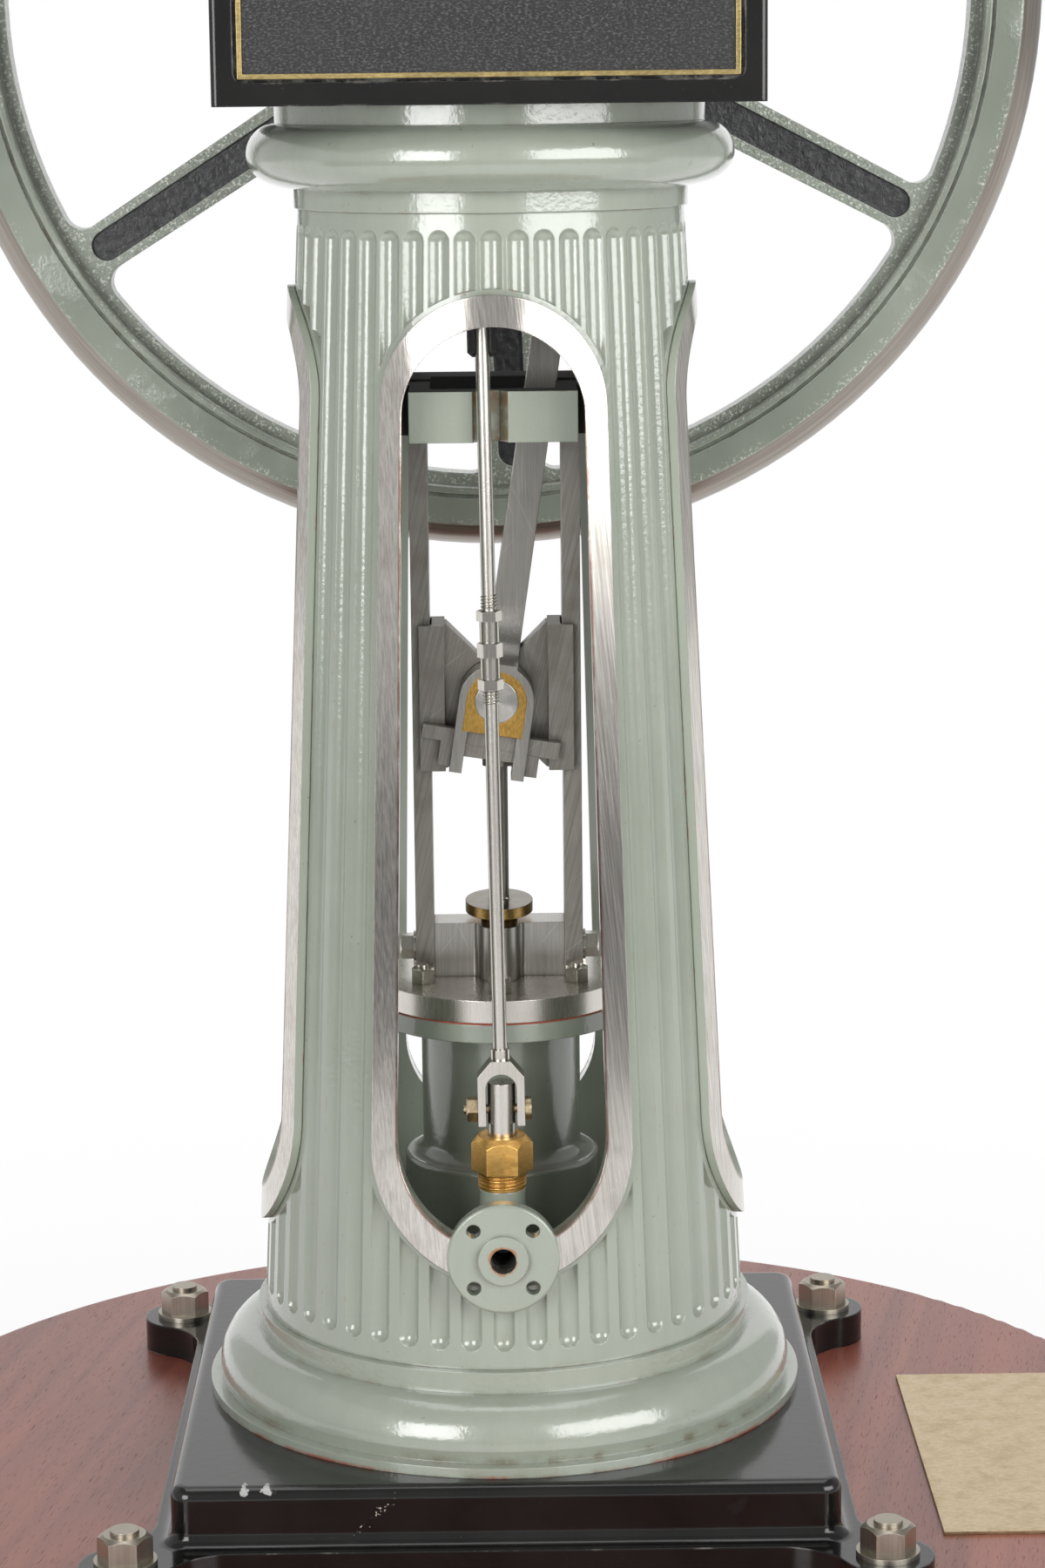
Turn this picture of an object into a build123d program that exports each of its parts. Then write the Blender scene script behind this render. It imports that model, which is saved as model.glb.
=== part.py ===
"""A model column steam engine: a fluted hollow column with four windows, standing on a black bed
plate and a round wooden base, with a vertical cylinder, crosshead and connecting rod inside it,
an open crank box on top and a flywheel behind the box.

Millimetres, +Z up, origin at the middle of the wooden base's underside. The front is -Y.
"""

import os
from math import asin, atan2, cos, radians, sin, sqrt

from build123d import *

os.makedirs("parts", exist_ok=True)

BOTTOM = (Align.CENTER, Align.CENTER, Align.MIN)
overrun = 5.0          # how far a cutter runs past the faces that it cuts
running_fit = 0.05     # radial clearance of a rod or shaft in its bore
side_gap = 0.35        # clearance between faces that slide past each other
quarter_turn = 90      # degrees
half_turn = 180

# Wooden base and the bare brass plate on it
disc_r = 154.0
disc_t = 22.0
disc_edge_r = 2.5
tablet_w = 45.0
tablet_l = 98.0
tablet_t = 0.8
tablet_inset = 38.0
tablet_y = -1.5

# Bed plate
bed_half = 70.0
bed_block_h = 12.5
bed_edge_r = 2.5
bed_corner_r = 4.0
bed_flange_t = 7.5
bed_waist_half = 74.0
bed_root_r = 3.0
lug_offset = 78.5
lug_r = 9.7
lug_root_r = 14.0

# Hold-down studs, nuts and washers
stud_r = 3.0
stud_gap = 0.3
stud_proud = 0.9
nut_flats = 10.0
nut_h = 5.6
nut_ease = 0.9
nut_top_share = 0.88
washer_r = 6.6
washer_t = 1.2

# Column: base moulding, tapered shaft, capital
foot_r = 65.9
foot_t = 2.2
foot_groove_r = 62.8
ovolo_r = 63.7
ovolo_top_r = 55.6
ovolo_low_h = 5.0
ovolo_h = 14.6
ring_r = 54.9
base_h = 19.3
shaft_foot_r = 53.3
shaft_top_r = 41.1
shaft_h = 240.9
shaft_wall = 4.0
collar_r = 41.9
collar_h = 4.2
torus_r = 51.8
torus_low_h = 6.7
torus_up_h = 6.7
neck_r = 45.6
neck_h = 4.2
capital_bore_r = 37.0

# Flutes: round-ended grooves that follow the taper
flute_count = 48
flute_half = 2.25
flute_depth = 1.35
flute_end_low = 6.3
flute_end_high = 5.6

# Windows: four, with straight sides, round ends and a raised surround
window_count = 4
window_half_deg = 24.8
surround_half_deg = 31.6
surround_proud = 1.6
surround_gap = 0.1
flute_trim_deg = 33.2
window_spring_low = 65.6
window_spring_drop = 39.7
window_spring_in = 1.8

# Crank box on the capital
box_half = 55.0
box_h = 47.6
box_wall = 5.0
box_floor = 4.0
box_edge_r = 1.2
panel_margin = 4.6
panel_depth = 1.6
panel_corner_r = 2.2
field_gap = 0.7
field_t = 0.8
border_w = 1.0
border_t = 1.2

# Crankshaft, crank and flywheel
crank_rise = 23.8
crank_r = 23.4
shaft_r = 4.5
web_t = 6.0
web_half = 7.5
web_gap = 0.35
pin_r = 4.0
big_end_r = 8.6
big_end_w = 8.0
pin_end = 0.3
bush_r = 8.5
bush_flange_r = 11.0
bush_flange_t = 2.0
wheel_r = 127.0
wheel_gap = 17.0
rim_w = 20.0
rim_depth = 16.7
rim_crown = 5.0
rim_edge = 0.5
rim_groove_in = 5.1
rim_groove_w = 0.5
rim_groove_depth = 1.3
rim_bead_in = 2.6
rim_bead_drop = 0.4
rim_bead_slope = 0.3
hub_r = 14.0
hub_l = 27.0
spoke_count = 6
spoke_turn_deg = 2.5
spoke_t = 8.0
spoke_half_out = 5.4
spoke_half_in = 6.6
spoke_root_r = 4.5
spoke_panel_half = 3.45
spoke_panel_depth = 0.8
spoke_panel_rim_gap = 1.7
spoke_panel_hub_gap = 7.0

# Cylinder, from the bed plate up
drum_r = 21.5
drum_h = 52.5
drum_edge_r = 0.8
barrel_r = 17.5
barrel_root_r = 3.0
cyl_flange_r = 27.4
cyl_flange_t = 4.0
cyl_flange_z = 83.5
gasket_t = 0.4
cover_t = 4.9
cover_nut_count = 6
cover_nut_ring_r = 19.4
cover_nut_flats = 4.8
cover_nut_h = 3.4
cover_nut_ease = 0.4
cover_stud_r = 1.2
cover_stud_proud = 0.7

# Guide bracket on the cover, gland and its studs
bracket_half = 14.3
bracket_h = 12.0
bracket_half_t = 4.5
nose_half = 4.2
nose_reach = 10.6
nose_root_r = 1.6
gland_half_x = 7.4
gland_half_y = 11.0
gland_t = 2.3
gland_neck_r = 4.0
gland_neck_h = 2.0
gland_stud_y = 7.6
gland_stud_r = 1.0
gland_nut_flats = 3.6
gland_nut_h = 2.0
gland_nut_ease = 0.3
gland_stud_proud = 0.4

# Guide bars and the cross bracket that holds their tops
bar_w = 4.0
bar_half_d = 5.0
bar_foot_gap = 1.8
bar_relief = 2.8
bar_bolt_flats = 5.2
bar_bolt_h = 3.0
bar_bolt_ease = 0.4
bar_bolt_washer_r = 3.4
bar_bolt_washer_t = 0.6
head_clear = 22.5
head_h = 10.6
head_front = 29.4
head_nose_half = 17.6
head_plate_front = 12.0
head_plate_back = 22.0
head_slot_x = -0.6
head_slot_half = 3.75
head_slot_back_half = 1.9
head_slot_depth = 3.6
rod_slot_half_x = 19.6
rod_slot_half_y = 3.6
head_open_half = 13.4
head_open_front = 22.0
head_open_back = 9.0

# Crosshead, piston rod and pin
cross_foot_gap = 2.4
crank_deg = 83.7
cross_half_h = 15.9
cross_half_t = 3.0
slipper_in = 11.2
slipper_out = 16.7
slipper_plate_t = 2.0
cross_mid_h = 7.5
cross_v_half = 2.4
cross_boss_r = 3.3
piston_rod_r = 2.2
piston_rod_low = 70.0
cross_pin_r = 4.65
rod_pin_gap = 0.9

# Connecting rod: shank, yoke and two forked ends with straps, brasses, gibs and cotters
shank_half_top = 3.0
shank_half_low = 3.5
shank_half_t = 2.25
yoke_h = 19.5
crotch_h = 12.0
fork_in = 3.7
fork_out = 12.0
strap_half = 8.1
strap_band = 1.6
strap_leg = 2.7
strap_low = 16.5
brass_low = 7.3
key_t = 2.6
key_in = 7.9
cotter_half = 15.0
cotter_h_small = 2.8
cotter_h_large = 3.8
gib_h = 2.4
gib_hook_w = 2.7
gib_hook_drop = 2.6

# Valve gear in front of the cylinder
valve_y = 31.5
inlet_z = 45.0
inlet_pipe_r = 5.1
inlet_flange_r = 11.8
inlet_flange_t = 3.4
inlet_flange_gap = 0.8
inlet_flange_edge = 0.6
inlet_boss_r = 5.3
inlet_boss_t = 1.2
inlet_bore_r = 2.65
inlet_bore_depth = 14.0
inlet_bolt_pcd = 17.5
inlet_bolt_r = 1.5
inlet_bolt_count = 4
neck_top_z = 52.9
gland_hex_flats = 11.5
gland_hex_h = 7.8
gland_hex_ease = 2.0
gland_thread_r = 4.95
gland_thread_h = 3.9
spindle_r = 2.95
spindle_top_z = 76.2
spindle_depth = 12.0
fork_pin_z = 70.3
fork_pin_r = 1.0
fork_pin_hole_gap = 0.1
fork_gap = 0.4
fork_arm_t = 1.65
fork_half_d = 2.8
fork_low = 3.2
fork_crown = 8.2
fork_shoulder = 7.5
fork_neck_low = 11.0
fork_neck_top = 13.2
fork_neck_r = 2.05
fork_nut_flats = 4.8
fork_nut_h = 2.5
fork_nut_ease = 0.4
fork_pin_proud = 0.6
fork_head_r = 2.5
fork_head_h = 1.4
valve_rod_r = 1.5
ecc_rod_clear = 7.3
adjuster_low = 90.9
adjuster_nut_flats = 4.7
adjuster_nut_h = 2.3
adjuster_nut_ease = 0.3
adjuster_sleeve_r = 2.05
adjuster_sleeve_h = 4.5
adjuster_hex_h = 3.2
ecc_rod_half = 3.1
ecc_rod_chamfer = 1.0
ecc_rod_set = 2.6
ecc_throw = 3.5
ecc_deg = -119.0
ecc_w = 5.0
sheave_r = 14.5
strap_ring_r = 18.0
ecc_ear_half = 21.5
ecc_ear_h = 6.0

# Heights and places that follow from the sizes above
plate_top = disc_t + bed_flange_t + bed_block_h
lug_top = disc_t + bed_flange_t
shaft_z = plate_top + base_h
capital_z = shaft_z + shaft_h
box_z = capital_z + collar_h + torus_low_h + torus_up_h + neck_h
crank_z = box_z + crank_rise
shaft_slope = (shaft_foot_r - shaft_top_r) / shaft_h
taper = atan2(shaft_foot_r - shaft_top_r, shaft_h)
flange_z = plate_top + cyl_flange_z
cover_z = flange_z + cyl_flange_t + gasket_t
bracket_z = cover_z + cover_t
gland_z = bracket_z + bracket_h + gland_neck_h
bar_z = bracket_z + bar_foot_gap
crank_angle = radians(crank_deg)
cross_low_z = gland_z + gland_t + cross_foot_gap + cross_half_h
cross_high_z = cross_low_z + 2 * crank_r
guide_head_z = cross_high_z + cross_half_h + head_clear
rod_length = crank_z - crank_r - cross_low_z
rod_lean = asin(crank_r * sin(crank_angle) / rod_length)
cross_z = crank_z + crank_r * cos(crank_angle) - rod_length * cos(rod_lean)
valve_pin_z = plate_top + fork_pin_z
ecc_x = ecc_throw * sin(radians(ecc_deg))
ecc_z = crank_z + ecc_throw * cos(radians(ecc_deg))
ecc_l = sqrt(ecc_x ** 2 + (ecc_z - valve_pin_z) ** 2)
ecc_lean = atan2(ecc_x, ecc_z - valve_pin_z)
wheel_y = box_half + wheel_gap


def shaft_radius(z):
    """Outer radius of the tapered shaft at height z."""
    return shaft_foot_r - shaft_slope * (z - shaft_z)


def plane_y(y, z=0.0, turn=0.0):
    """An upright plane at depth y facing the front, its own up axis leaning by turn towards +X."""
    across = (cos(turn), 0, -sin(turn))
    return Plane(origin=(0, y, z), x_dir=across, z_dir=(0, -1, 0))


def side_plane(z, turn):
    """An upright plane seen from the right, its up axis leaning by turn towards +X."""
    return Plane(origin=(0, 0, z), x_dir=(0, 1, 0), z_dir=(cos(turn), 0, -sin(turn)))


def turned(points):
    """A solid of revolution about the upright axis from radius and height pairs."""
    with BuildPart() as body:
        with BuildSketch(Plane.XZ):
            with BuildLine():
                Polyline(*points, close=True)
            make_face()
        revolve(axis=Axis.Z)
    return body.part


def hex_nut(flats, height, ease, plane):
    """A hexagonal nut standing on a plane, its top corners turned off over a height called ease."""
    corner_r = flats / sqrt(3)
    with BuildPart() as body:
        with BuildSketch():
            RegularPolygon(flats / 2, 6, major_radius=False)
        extrude(amount=height)
        with BuildSketch(Plane.XZ):
            with BuildLine():
                Polyline((0, 0), (corner_r, 0), (corner_r, height - ease),
                         (nut_top_share * flats / 2, height), (0, height), close=True)
            make_face()
        revolve(axis=Axis.Z, mode=Mode.INTERSECT)
    return body.part.moved(plane.location)


def round_bar(radius, height, plane):
    """A round bar standing on a plane."""
    with BuildPart() as body:
        with BuildSketch(plane):
            Circle(radius)
        extrude(amount=height)
    return body.part


def window_block(half_deg, inner_y, outer_y, spring_in=0.0):
    """A block the shape of the front window: straight through the wall and narrower at the top."""
    low_z = plate_top + window_spring_low + spring_in
    high_z = capital_z - window_spring_drop - spring_in
    low_half = (shaft_radius(low_z) + surround_proud) * sin(radians(half_deg))
    high_half = (shaft_radius(high_z) + surround_proud) * sin(radians(half_deg))
    with BuildPart() as body:
        with BuildSketch(plane_y(-inner_y)):
            with BuildLine():
                Line((-low_half, low_z), (-high_half, high_z))
                CenterArc((0, high_z), high_half, start_angle=0, arc_size=half_turn)
                Line((high_half, high_z), (low_half, low_z))
                CenterArc((0, low_z), low_half, start_angle=half_turn, arc_size=half_turn)
            make_face()
        extrude(amount=outer_y - inner_y)
    return body.part


def finish(builder, label):
    """Name a finished piece and write it."""
    builder.part.label = label
    export_step(builder.part, f"parts/{label}.step")


# The wooden base: a round disc with an eased top edge
with BuildPart() as base_disc:
    Cylinder(disc_r, disc_t, align=BOTTOM)
    fillet(base_disc.faces().sort_by(Axis.Z)[-1].edges(), disc_edge_r)
finish(base_disc, "base_disc")

# The bare brass tablet on the base
with BuildPart() as base_tablet:
    with Locations((disc_r - tablet_inset, tablet_y, disc_t)):
        Box(tablet_w, tablet_l, tablet_t, align=BOTTOM)
finish(base_tablet, "base_tablet")

# The bed plate: a flange with four lugs and a raised block with rounded edges
with BuildPart() as bed_plate:
    with BuildSketch(Plane.XY.offset(disc_t)) as bed_outline:
        Rectangle(2 * bed_waist_half, 2 * bed_waist_half)
        with GridLocations(2 * lug_offset, 2 * lug_offset, 2, 2):
            Circle(lug_r)
        fillet(bed_outline.vertices(), lug_root_r)
        with GridLocations(2 * lug_offset, 2 * lug_offset, 2, 2):
            Circle(stud_r + stud_gap, mode=Mode.SUBTRACT)
    extrude(amount=bed_flange_t)
    with BuildSketch(Plane.XY.offset(lug_top)):
        RectangleRounded(2 * bed_half, 2 * bed_half, bed_corner_r)
    extrude(amount=bed_block_h)
    root_edges = bed_plate.edges().filter_by_position(Axis.Z, lug_top, lug_top)
    root_reach = bed_half + side_gap
    root_edges = root_edges.filter_by(lambda e: max(abs(e.center().X), abs(e.center().Y)) < root_reach)
    fillet(root_edges, bed_root_r)
    fillet(bed_plate.faces().sort_by(Axis.Z)[-1].edges(), bed_edge_r)
finish(bed_plate, "bed_plate")

# Hold-down studs with nuts and washers on the lugs
with BuildPart() as hold_down_nuts:
    with GridLocations(2 * lug_offset, 2 * lug_offset, 2, 2):
        add(round_bar(washer_r, washer_t, Plane.XY.offset(lug_top)))
        add(hex_nut(nut_flats, nut_h, nut_ease, Plane.XY.offset(lug_top + washer_t)))
        add(round_bar(stud_r, bed_flange_t + washer_t + nut_h + stud_proud, Plane.XY.offset(disc_t)))
finish(hold_down_nuts, "hold_down_nuts")

# The column's base moulding: foot, groove, ovolo and ring
with BuildPart() as column_base:
    with BuildSketch(Plane.XZ):
        with BuildLine():
            low = plate_top + ovolo_low_h
            top = plate_top + ovolo_h
            bore_r = shaft_foot_r - shaft_wall
            Polyline((bore_r, plate_top), (foot_r, plate_top), (foot_r, plate_top + foot_t),
                     (foot_groove_r, plate_top + foot_t), (ovolo_r, low))
            EllipticalCenterArc((ovolo_top_r, low), ovolo_r - ovolo_top_r, ovolo_h - ovolo_low_h,
                                start_angle=0, arc_size=quarter_turn)
            Polyline((ovolo_top_r, top), (ring_r, top), (ring_r, shaft_z), (bore_r, shaft_z),
                     (bore_r, plate_top))
        make_face()
    revolve(axis=Axis.Z)
finish(column_base, "column_base")

# Blocks that shape the windows and their surrounds
window_inner_y = shaft_top_r / 2
window_outer_y = foot_r + overrun
opening_block = window_block(window_half_deg, window_inner_y, window_outer_y, window_spring_in)
surround_block = window_block(surround_half_deg, window_inner_y, window_outer_y)
flute_trim_block = window_block(flute_trim_deg, window_inner_y, window_outer_y)

# One flute cutter, a round-ended bar along the taper, at the front
flute_r = (flute_half ** 2 + flute_depth ** 2) / (2 * flute_depth)
flute_low_z = shaft_z + flute_end_low
flute_high_z = capital_z - flute_end_high
flute_lift = flute_r - flute_depth
flute_plane = Plane(
    origin=(0, -(shaft_radius(flute_low_z) + flute_lift), flute_low_z),
    x_dir=(1, 0, 0), z_dir=(0, sin(taper), cos(taper)))
flute_l = (flute_high_z - flute_low_z) / cos(taper)
with BuildPart() as flute:
    with BuildSketch(flute_plane):
        Circle(flute_r)
    extrude(amount=flute_l)
    with Locations(flute_plane.location, flute_plane.offset(flute_l).location):
        Sphere(flute_r)
flute_pitch = 360 / flute_count
window_pitch = 360 / window_count
covered = int(surround_half_deg / flute_pitch)

# A quarter of the flutes: those that the surround interrupts, and those beside it
with BuildPart() as broken_flutes:
    for step in range(-covered, covered + 1):
        add(flute.part, rotation=(0, 0, step * flute_pitch))
    add(flute_trim_block, mode=Mode.SUBTRACT)
with BuildPart() as whole_flutes:
    for step in range(covered + 1, int(window_pitch / flute_pitch) - covered):
        add(flute.part, rotation=(0, 0, step * flute_pitch))

# The fluted shaft with its four windows and a notch for the steam pipe
with BuildPart() as column_shaft:
    add(turned([(shaft_foot_r - shaft_wall, shaft_z), (shaft_foot_r, shaft_z),
                (shaft_top_r, capital_z), (shaft_top_r - shaft_wall, capital_z)]))
    for quarter in range(window_count):
        turn = (0, 0, quarter * window_pitch)
        add(broken_flutes.part, rotation=turn, mode=Mode.SUBTRACT)
        add(whole_flutes.part, rotation=turn, mode=Mode.SUBTRACT)
        add(opening_block, rotation=turn, mode=Mode.SUBTRACT)
    pipe_way = plane_y(-shaft_radius(plate_top + inlet_z) / 2, plate_top + inlet_z)
    add(round_bar(inlet_pipe_r + side_gap, shaft_foot_r, pipe_way), mode=Mode.SUBTRACT)
finish(column_shaft, "column_shaft")

# The raised window surrounds, wrapped round the taper
for name, quarter in (("front", 0), ("right", 1), ("back", 2), ("left", 3)):
    with BuildPart() as surround:
        add(turned([(shaft_foot_r + surround_gap, shaft_z), (shaft_foot_r + surround_proud, shaft_z),
                    (shaft_top_r + surround_proud, capital_z), (shaft_top_r + surround_gap, capital_z)]))
        add(surround_block, rotation=(0, 0, quarter * window_pitch), mode=Mode.INTERSECT)
        add(opening_block, rotation=(0, 0, quarter * window_pitch), mode=Mode.SUBTRACT)
        add(round_bar(inlet_pipe_r + side_gap, shaft_foot_r, pipe_way), mode=Mode.SUBTRACT)
    finish(surround, f"window_surround_{name}")

# The capital: collar, swelling torus and neck
with BuildPart() as column_capital:
    with BuildSketch(Plane.XZ):
        with BuildLine():
            collar_top = capital_z + collar_h
            torus_mid = collar_top + torus_low_h
            torus_top = torus_mid + torus_up_h
            Polyline((capital_bore_r, capital_z), (collar_r, capital_z), (collar_r, collar_top))
            EllipticalCenterArc((collar_r, torus_mid), torus_r - collar_r, torus_low_h,
                                start_angle=3 * quarter_turn, arc_size=quarter_turn)
            EllipticalCenterArc((neck_r, torus_mid), torus_r - neck_r, torus_up_h,
                                start_angle=0, arc_size=quarter_turn)
            Polyline((neck_r, torus_top), (neck_r, box_z), (capital_bore_r, box_z),
                     (capital_bore_r, capital_z))
        make_face()
    revolve(axis=Axis.Z)
finish(column_capital, "column_capital")

# The crank box: an open-topped square box with sunk panels on its four sides
panel_w = 2 * (box_half - panel_margin)
panel_h = box_h - 2 * panel_margin
panel_z = box_z + box_h / 2
with BuildPart() as crank_box:
    with BuildSketch(Plane.XY.offset(box_z)):
        Rectangle(2 * box_half, 2 * box_half)
    extrude(amount=box_h)
    fillet(crank_box.edges().filter_by(Axis.Z), box_edge_r)
    with BuildSketch(Plane.XY.offset(box_z + box_floor)):
        Rectangle(2 * (box_half - box_wall), 2 * (box_half - box_wall))
    extrude(amount=box_h, mode=Mode.SUBTRACT)
    with BuildSketch(Plane.XY.offset(box_z)):
        Circle(capital_bore_r)
    extrude(amount=box_h, mode=Mode.SUBTRACT)
    for quarter in range(window_count):
        turn = radians(quarter * window_pitch)
        outward = (sin(turn), -cos(turn), 0)
        face = Plane(origin=(box_half * sin(turn), -box_half * cos(turn), panel_z),
                     x_dir=(cos(turn), sin(turn), 0), z_dir=outward)
        with BuildSketch(face):
            RectangleRounded(panel_w, panel_h, panel_corner_r)
        extrude(amount=-panel_depth, mode=Mode.SUBTRACT)
    with BuildSketch(plane_y(box_half + overrun, crank_z)):
        Circle(bush_r)
    extrude(amount=box_wall + 2 * overrun, mode=Mode.SUBTRACT)
finish(crank_box, "crank_box")

# The bare name panel: a dark field with a brass border, in the front recess
field_w = panel_w - 2 * field_gap
field_h = panel_h - 2 * field_gap
recess_y = -(box_half - panel_depth)
with BuildPart() as name_panel:
    with BuildSketch(plane_y(recess_y, panel_z)):
        Rectangle(field_w - 2 * border_w, field_h - 2 * border_w)
    extrude(amount=field_t)
finish(name_panel, "name_panel")
with BuildPart() as name_panel_border:
    with BuildSketch(plane_y(recess_y, panel_z)):
        Rectangle(field_w, field_h)
        Rectangle(field_w - 2 * border_w, field_h - 2 * border_w, mode=Mode.SUBTRACT)
    extrude(amount=border_t)
finish(name_panel_border, "name_panel_border")

# Shaft bearings: a blind bush inside the front wall and a flanged bush through the back wall
front_wall_y = -(box_half - box_wall)
back_wall_y = box_half - box_wall
front_bush_l = bush_r
with BuildPart() as front_bearing:
    add(round_bar(bush_r, front_bush_l, plane_y(front_wall_y + front_bush_l, crank_z)))
    add(round_bar(bush_flange_r, bush_flange_t, plane_y(front_wall_y + bush_flange_t, crank_z)))
    add(round_bar(shaft_r + running_fit, front_bush_l, plane_y(front_wall_y + front_bush_l, crank_z)),
        mode=Mode.SUBTRACT)
finish(front_bearing, "front_bearing")
with BuildPart() as back_bearing:
    add(round_bar(bush_r, box_wall + bush_flange_t, plane_y(box_half, crank_z)))
    add(round_bar(bush_flange_r, bush_flange_t, plane_y(back_wall_y, crank_z)))
    add(round_bar(shaft_r + running_fit, box_wall + bush_flange_t, plane_y(box_half, crank_z)),
        mode=Mode.SUBTRACT)
finish(back_bearing, "back_bearing")

# The cylinder: a wide drum on the bed plate, the barrel and its top flange
rod_bore = round_bar(piston_rod_r + running_fit, gland_z, Plane.XY.offset(plate_top + overrun))
with BuildPart() as cylinder:
    drum_top = plate_top + drum_h
    add(turned([(0, plate_top), (drum_r, plate_top), (drum_r, drum_top), (barrel_r, drum_top),
                (barrel_r, flange_z), (cyl_flange_r, flange_z), (cyl_flange_r, flange_z + cyl_flange_t),
                (0, flange_z + cyl_flange_t)]))
    rings = cylinder.edges().filter_by(GeomType.CIRCLE).filter_by_position(Axis.Z, drum_top, drum_top)
    rings = rings.sort_by(SortBy.RADIUS)
    fillet(rings[-1], drum_edge_r)
    rings = cylinder.edges().filter_by(GeomType.CIRCLE).filter_by_position(Axis.Z, drum_top, drum_top)
    fillet(rings.sort_by(SortBy.RADIUS)[0], barrel_root_r)
    add(rod_bore, mode=Mode.SUBTRACT)
finish(cylinder, "cylinder")

with BuildPart() as cover_gasket:
    add(turned([(0, flange_z + cyl_flange_t), (cyl_flange_r, flange_z + cyl_flange_t),
                (cyl_flange_r, cover_z), (0, cover_z)]))
    add(rod_bore, mode=Mode.SUBTRACT)
finish(cover_gasket, "cover_gasket")

with BuildPart() as cylinder_cover:
    add(turned([(0, cover_z), (cyl_flange_r, cover_z), (cyl_flange_r, bracket_z), (0, bracket_z)]))
    add(rod_bore, mode=Mode.SUBTRACT)
finish(cylinder_cover, "cylinder_cover")

# Nuts on the cover's studs, one of them at the front
with BuildPart() as cover_nuts:
    with PolarLocations(cover_nut_ring_r, cover_nut_count, start_angle=-quarter_turn):
        add(hex_nut(cover_nut_flats, cover_nut_h, cover_nut_ease, Plane.XY.offset(bracket_z)))
        add(round_bar(cover_stud_r, cover_nut_h + cover_stud_proud, Plane.XY.offset(bracket_z)))
finish(cover_nuts, "cover_nuts")

# The guide bracket on the cover: a bar between the guide bars with a rounded nose front and back
with BuildPart() as guide_bracket:
    with BuildSketch(Plane.XY.offset(bracket_z)) as bracket_plan:
        Rectangle(2 * bracket_half, 2 * bracket_half_t)
        SlotOverall(2 * nose_reach, 2 * nose_half, rotation=quarter_turn)
        corners = bracket_plan.vertices().filter_by(
            lambda v: abs(abs(v.X) - nose_half) < running_fit
            and abs(abs(v.Y) - bracket_half_t) < running_fit)
        fillet(corners, nose_root_r)
    extrude(amount=bracket_h)
    add(rod_bore, mode=Mode.SUBTRACT)
finish(guide_bracket, "guide_bracket")

# The oval brass gland on a dark neck, with its two studs and nuts
with BuildPart() as gland:
    add(round_bar(gland_neck_r, gland_neck_h, Plane.XY.offset(bracket_z + bracket_h)))
    with BuildSketch(Plane.XY.offset(gland_z)):
        Ellipse(gland_half_x, gland_half_y)
    extrude(amount=gland_t)
    add(rod_bore, mode=Mode.SUBTRACT)
    with GridLocations(0, 2 * gland_stud_y, 1, 2):
        add(round_bar(gland_stud_r, gland_t, Plane.XY.offset(gland_z)), mode=Mode.SUBTRACT)
finish(gland, "gland")

with BuildPart() as gland_studs:
    stud_foot = bracket_z + bracket_h
    with GridLocations(0, 2 * gland_stud_y, 1, 2):
        add(round_bar(gland_stud_r, gland_neck_h + gland_t + gland_nut_h + gland_stud_proud,
                      Plane.XY.offset(stud_foot)))
        add(hex_nut(gland_nut_flats, gland_nut_h, gland_nut_ease, Plane.XY.offset(gland_z + gland_t)))
finish(gland_studs, "gland_studs")

# Guide bars on the ends of the bracket, up to the underside of the cross bracket, each with a pocket
# above the slipper's travel for the connecting rod
bar_h = guide_head_z - bar_z
for name, side in (("left", -1), ("right", 1)):
    with BuildPart() as guide_bar:
        with Locations((side * (bracket_half + bar_w / 2), 0, bar_z)):
            Box(bar_w, 2 * bar_half_d, bar_h, align=BOTTOM)
        relief_z = cross_high_z + cross_half_h + side_gap
        with Locations((side * (bracket_half + bar_relief / 2), 0, relief_z)):
            Box(bar_relief, 2 * (shank_half_t + side_gap), guide_head_z - relief_z, align=BOTTOM,
                mode=Mode.SUBTRACT)
    finish(guide_bar, f"guide_bar_{name}")

with BuildPart() as guide_bar_bolts:
    bolt_z = bracket_z + bracket_h / 2
    for side in (-1, 1):
        bolt_plane = Plane(origin=(side * (bracket_half + bar_w), 0, bolt_z), x_dir=(0, 1, 0),
                           z_dir=(side, 0, 0))
        add(round_bar(bar_bolt_washer_r, bar_bolt_washer_t, bolt_plane))
        add(hex_nut(bar_bolt_flats, bar_bolt_h, bar_bolt_ease, bolt_plane.offset(bar_bolt_washer_t)))
finish(guide_bar_bolts, "guide_bar_bolts")

# The cross bracket inside the column that holds the guide bars' tops
with BuildPart() as guide_head:
    with BuildSketch(Plane.XY.offset(guide_head_z)):
        with Locations((0, (head_plate_back - head_plate_front) / 2)):
            Rectangle(2 * shaft_foot_r, head_plate_back + head_plate_front)
        with Locations((0, -(head_front + head_plate_front) / 2)):
            Rectangle(2 * head_nose_half, head_front - head_plate_front)
        Rectangle(2 * rod_slot_half_x, 2 * rod_slot_half_y, mode=Mode.SUBTRACT)
        with Locations((0, (head_open_back - head_open_front) / 2)):
            Rectangle(2 * head_open_half, head_open_back + head_open_front, mode=Mode.SUBTRACT)
        slot_back = head_slot_depth - head_front
        Polygon((head_slot_x - head_slot_half, -head_front), (head_slot_x + head_slot_half, -head_front),
                (head_slot_x + head_slot_back_half, slot_back),
                (head_slot_x - head_slot_back_half, slot_back),
                align=None, mode=Mode.SUBTRACT)
    extrude(amount=head_h)
    add(turned([(0, shaft_z), (shaft_foot_r - shaft_wall, shaft_z),
                (shaft_top_r - shaft_wall, capital_z), (0, capital_z)]), mode=Mode.INTERSECT)
finish(guide_head, "guide_head")

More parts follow.
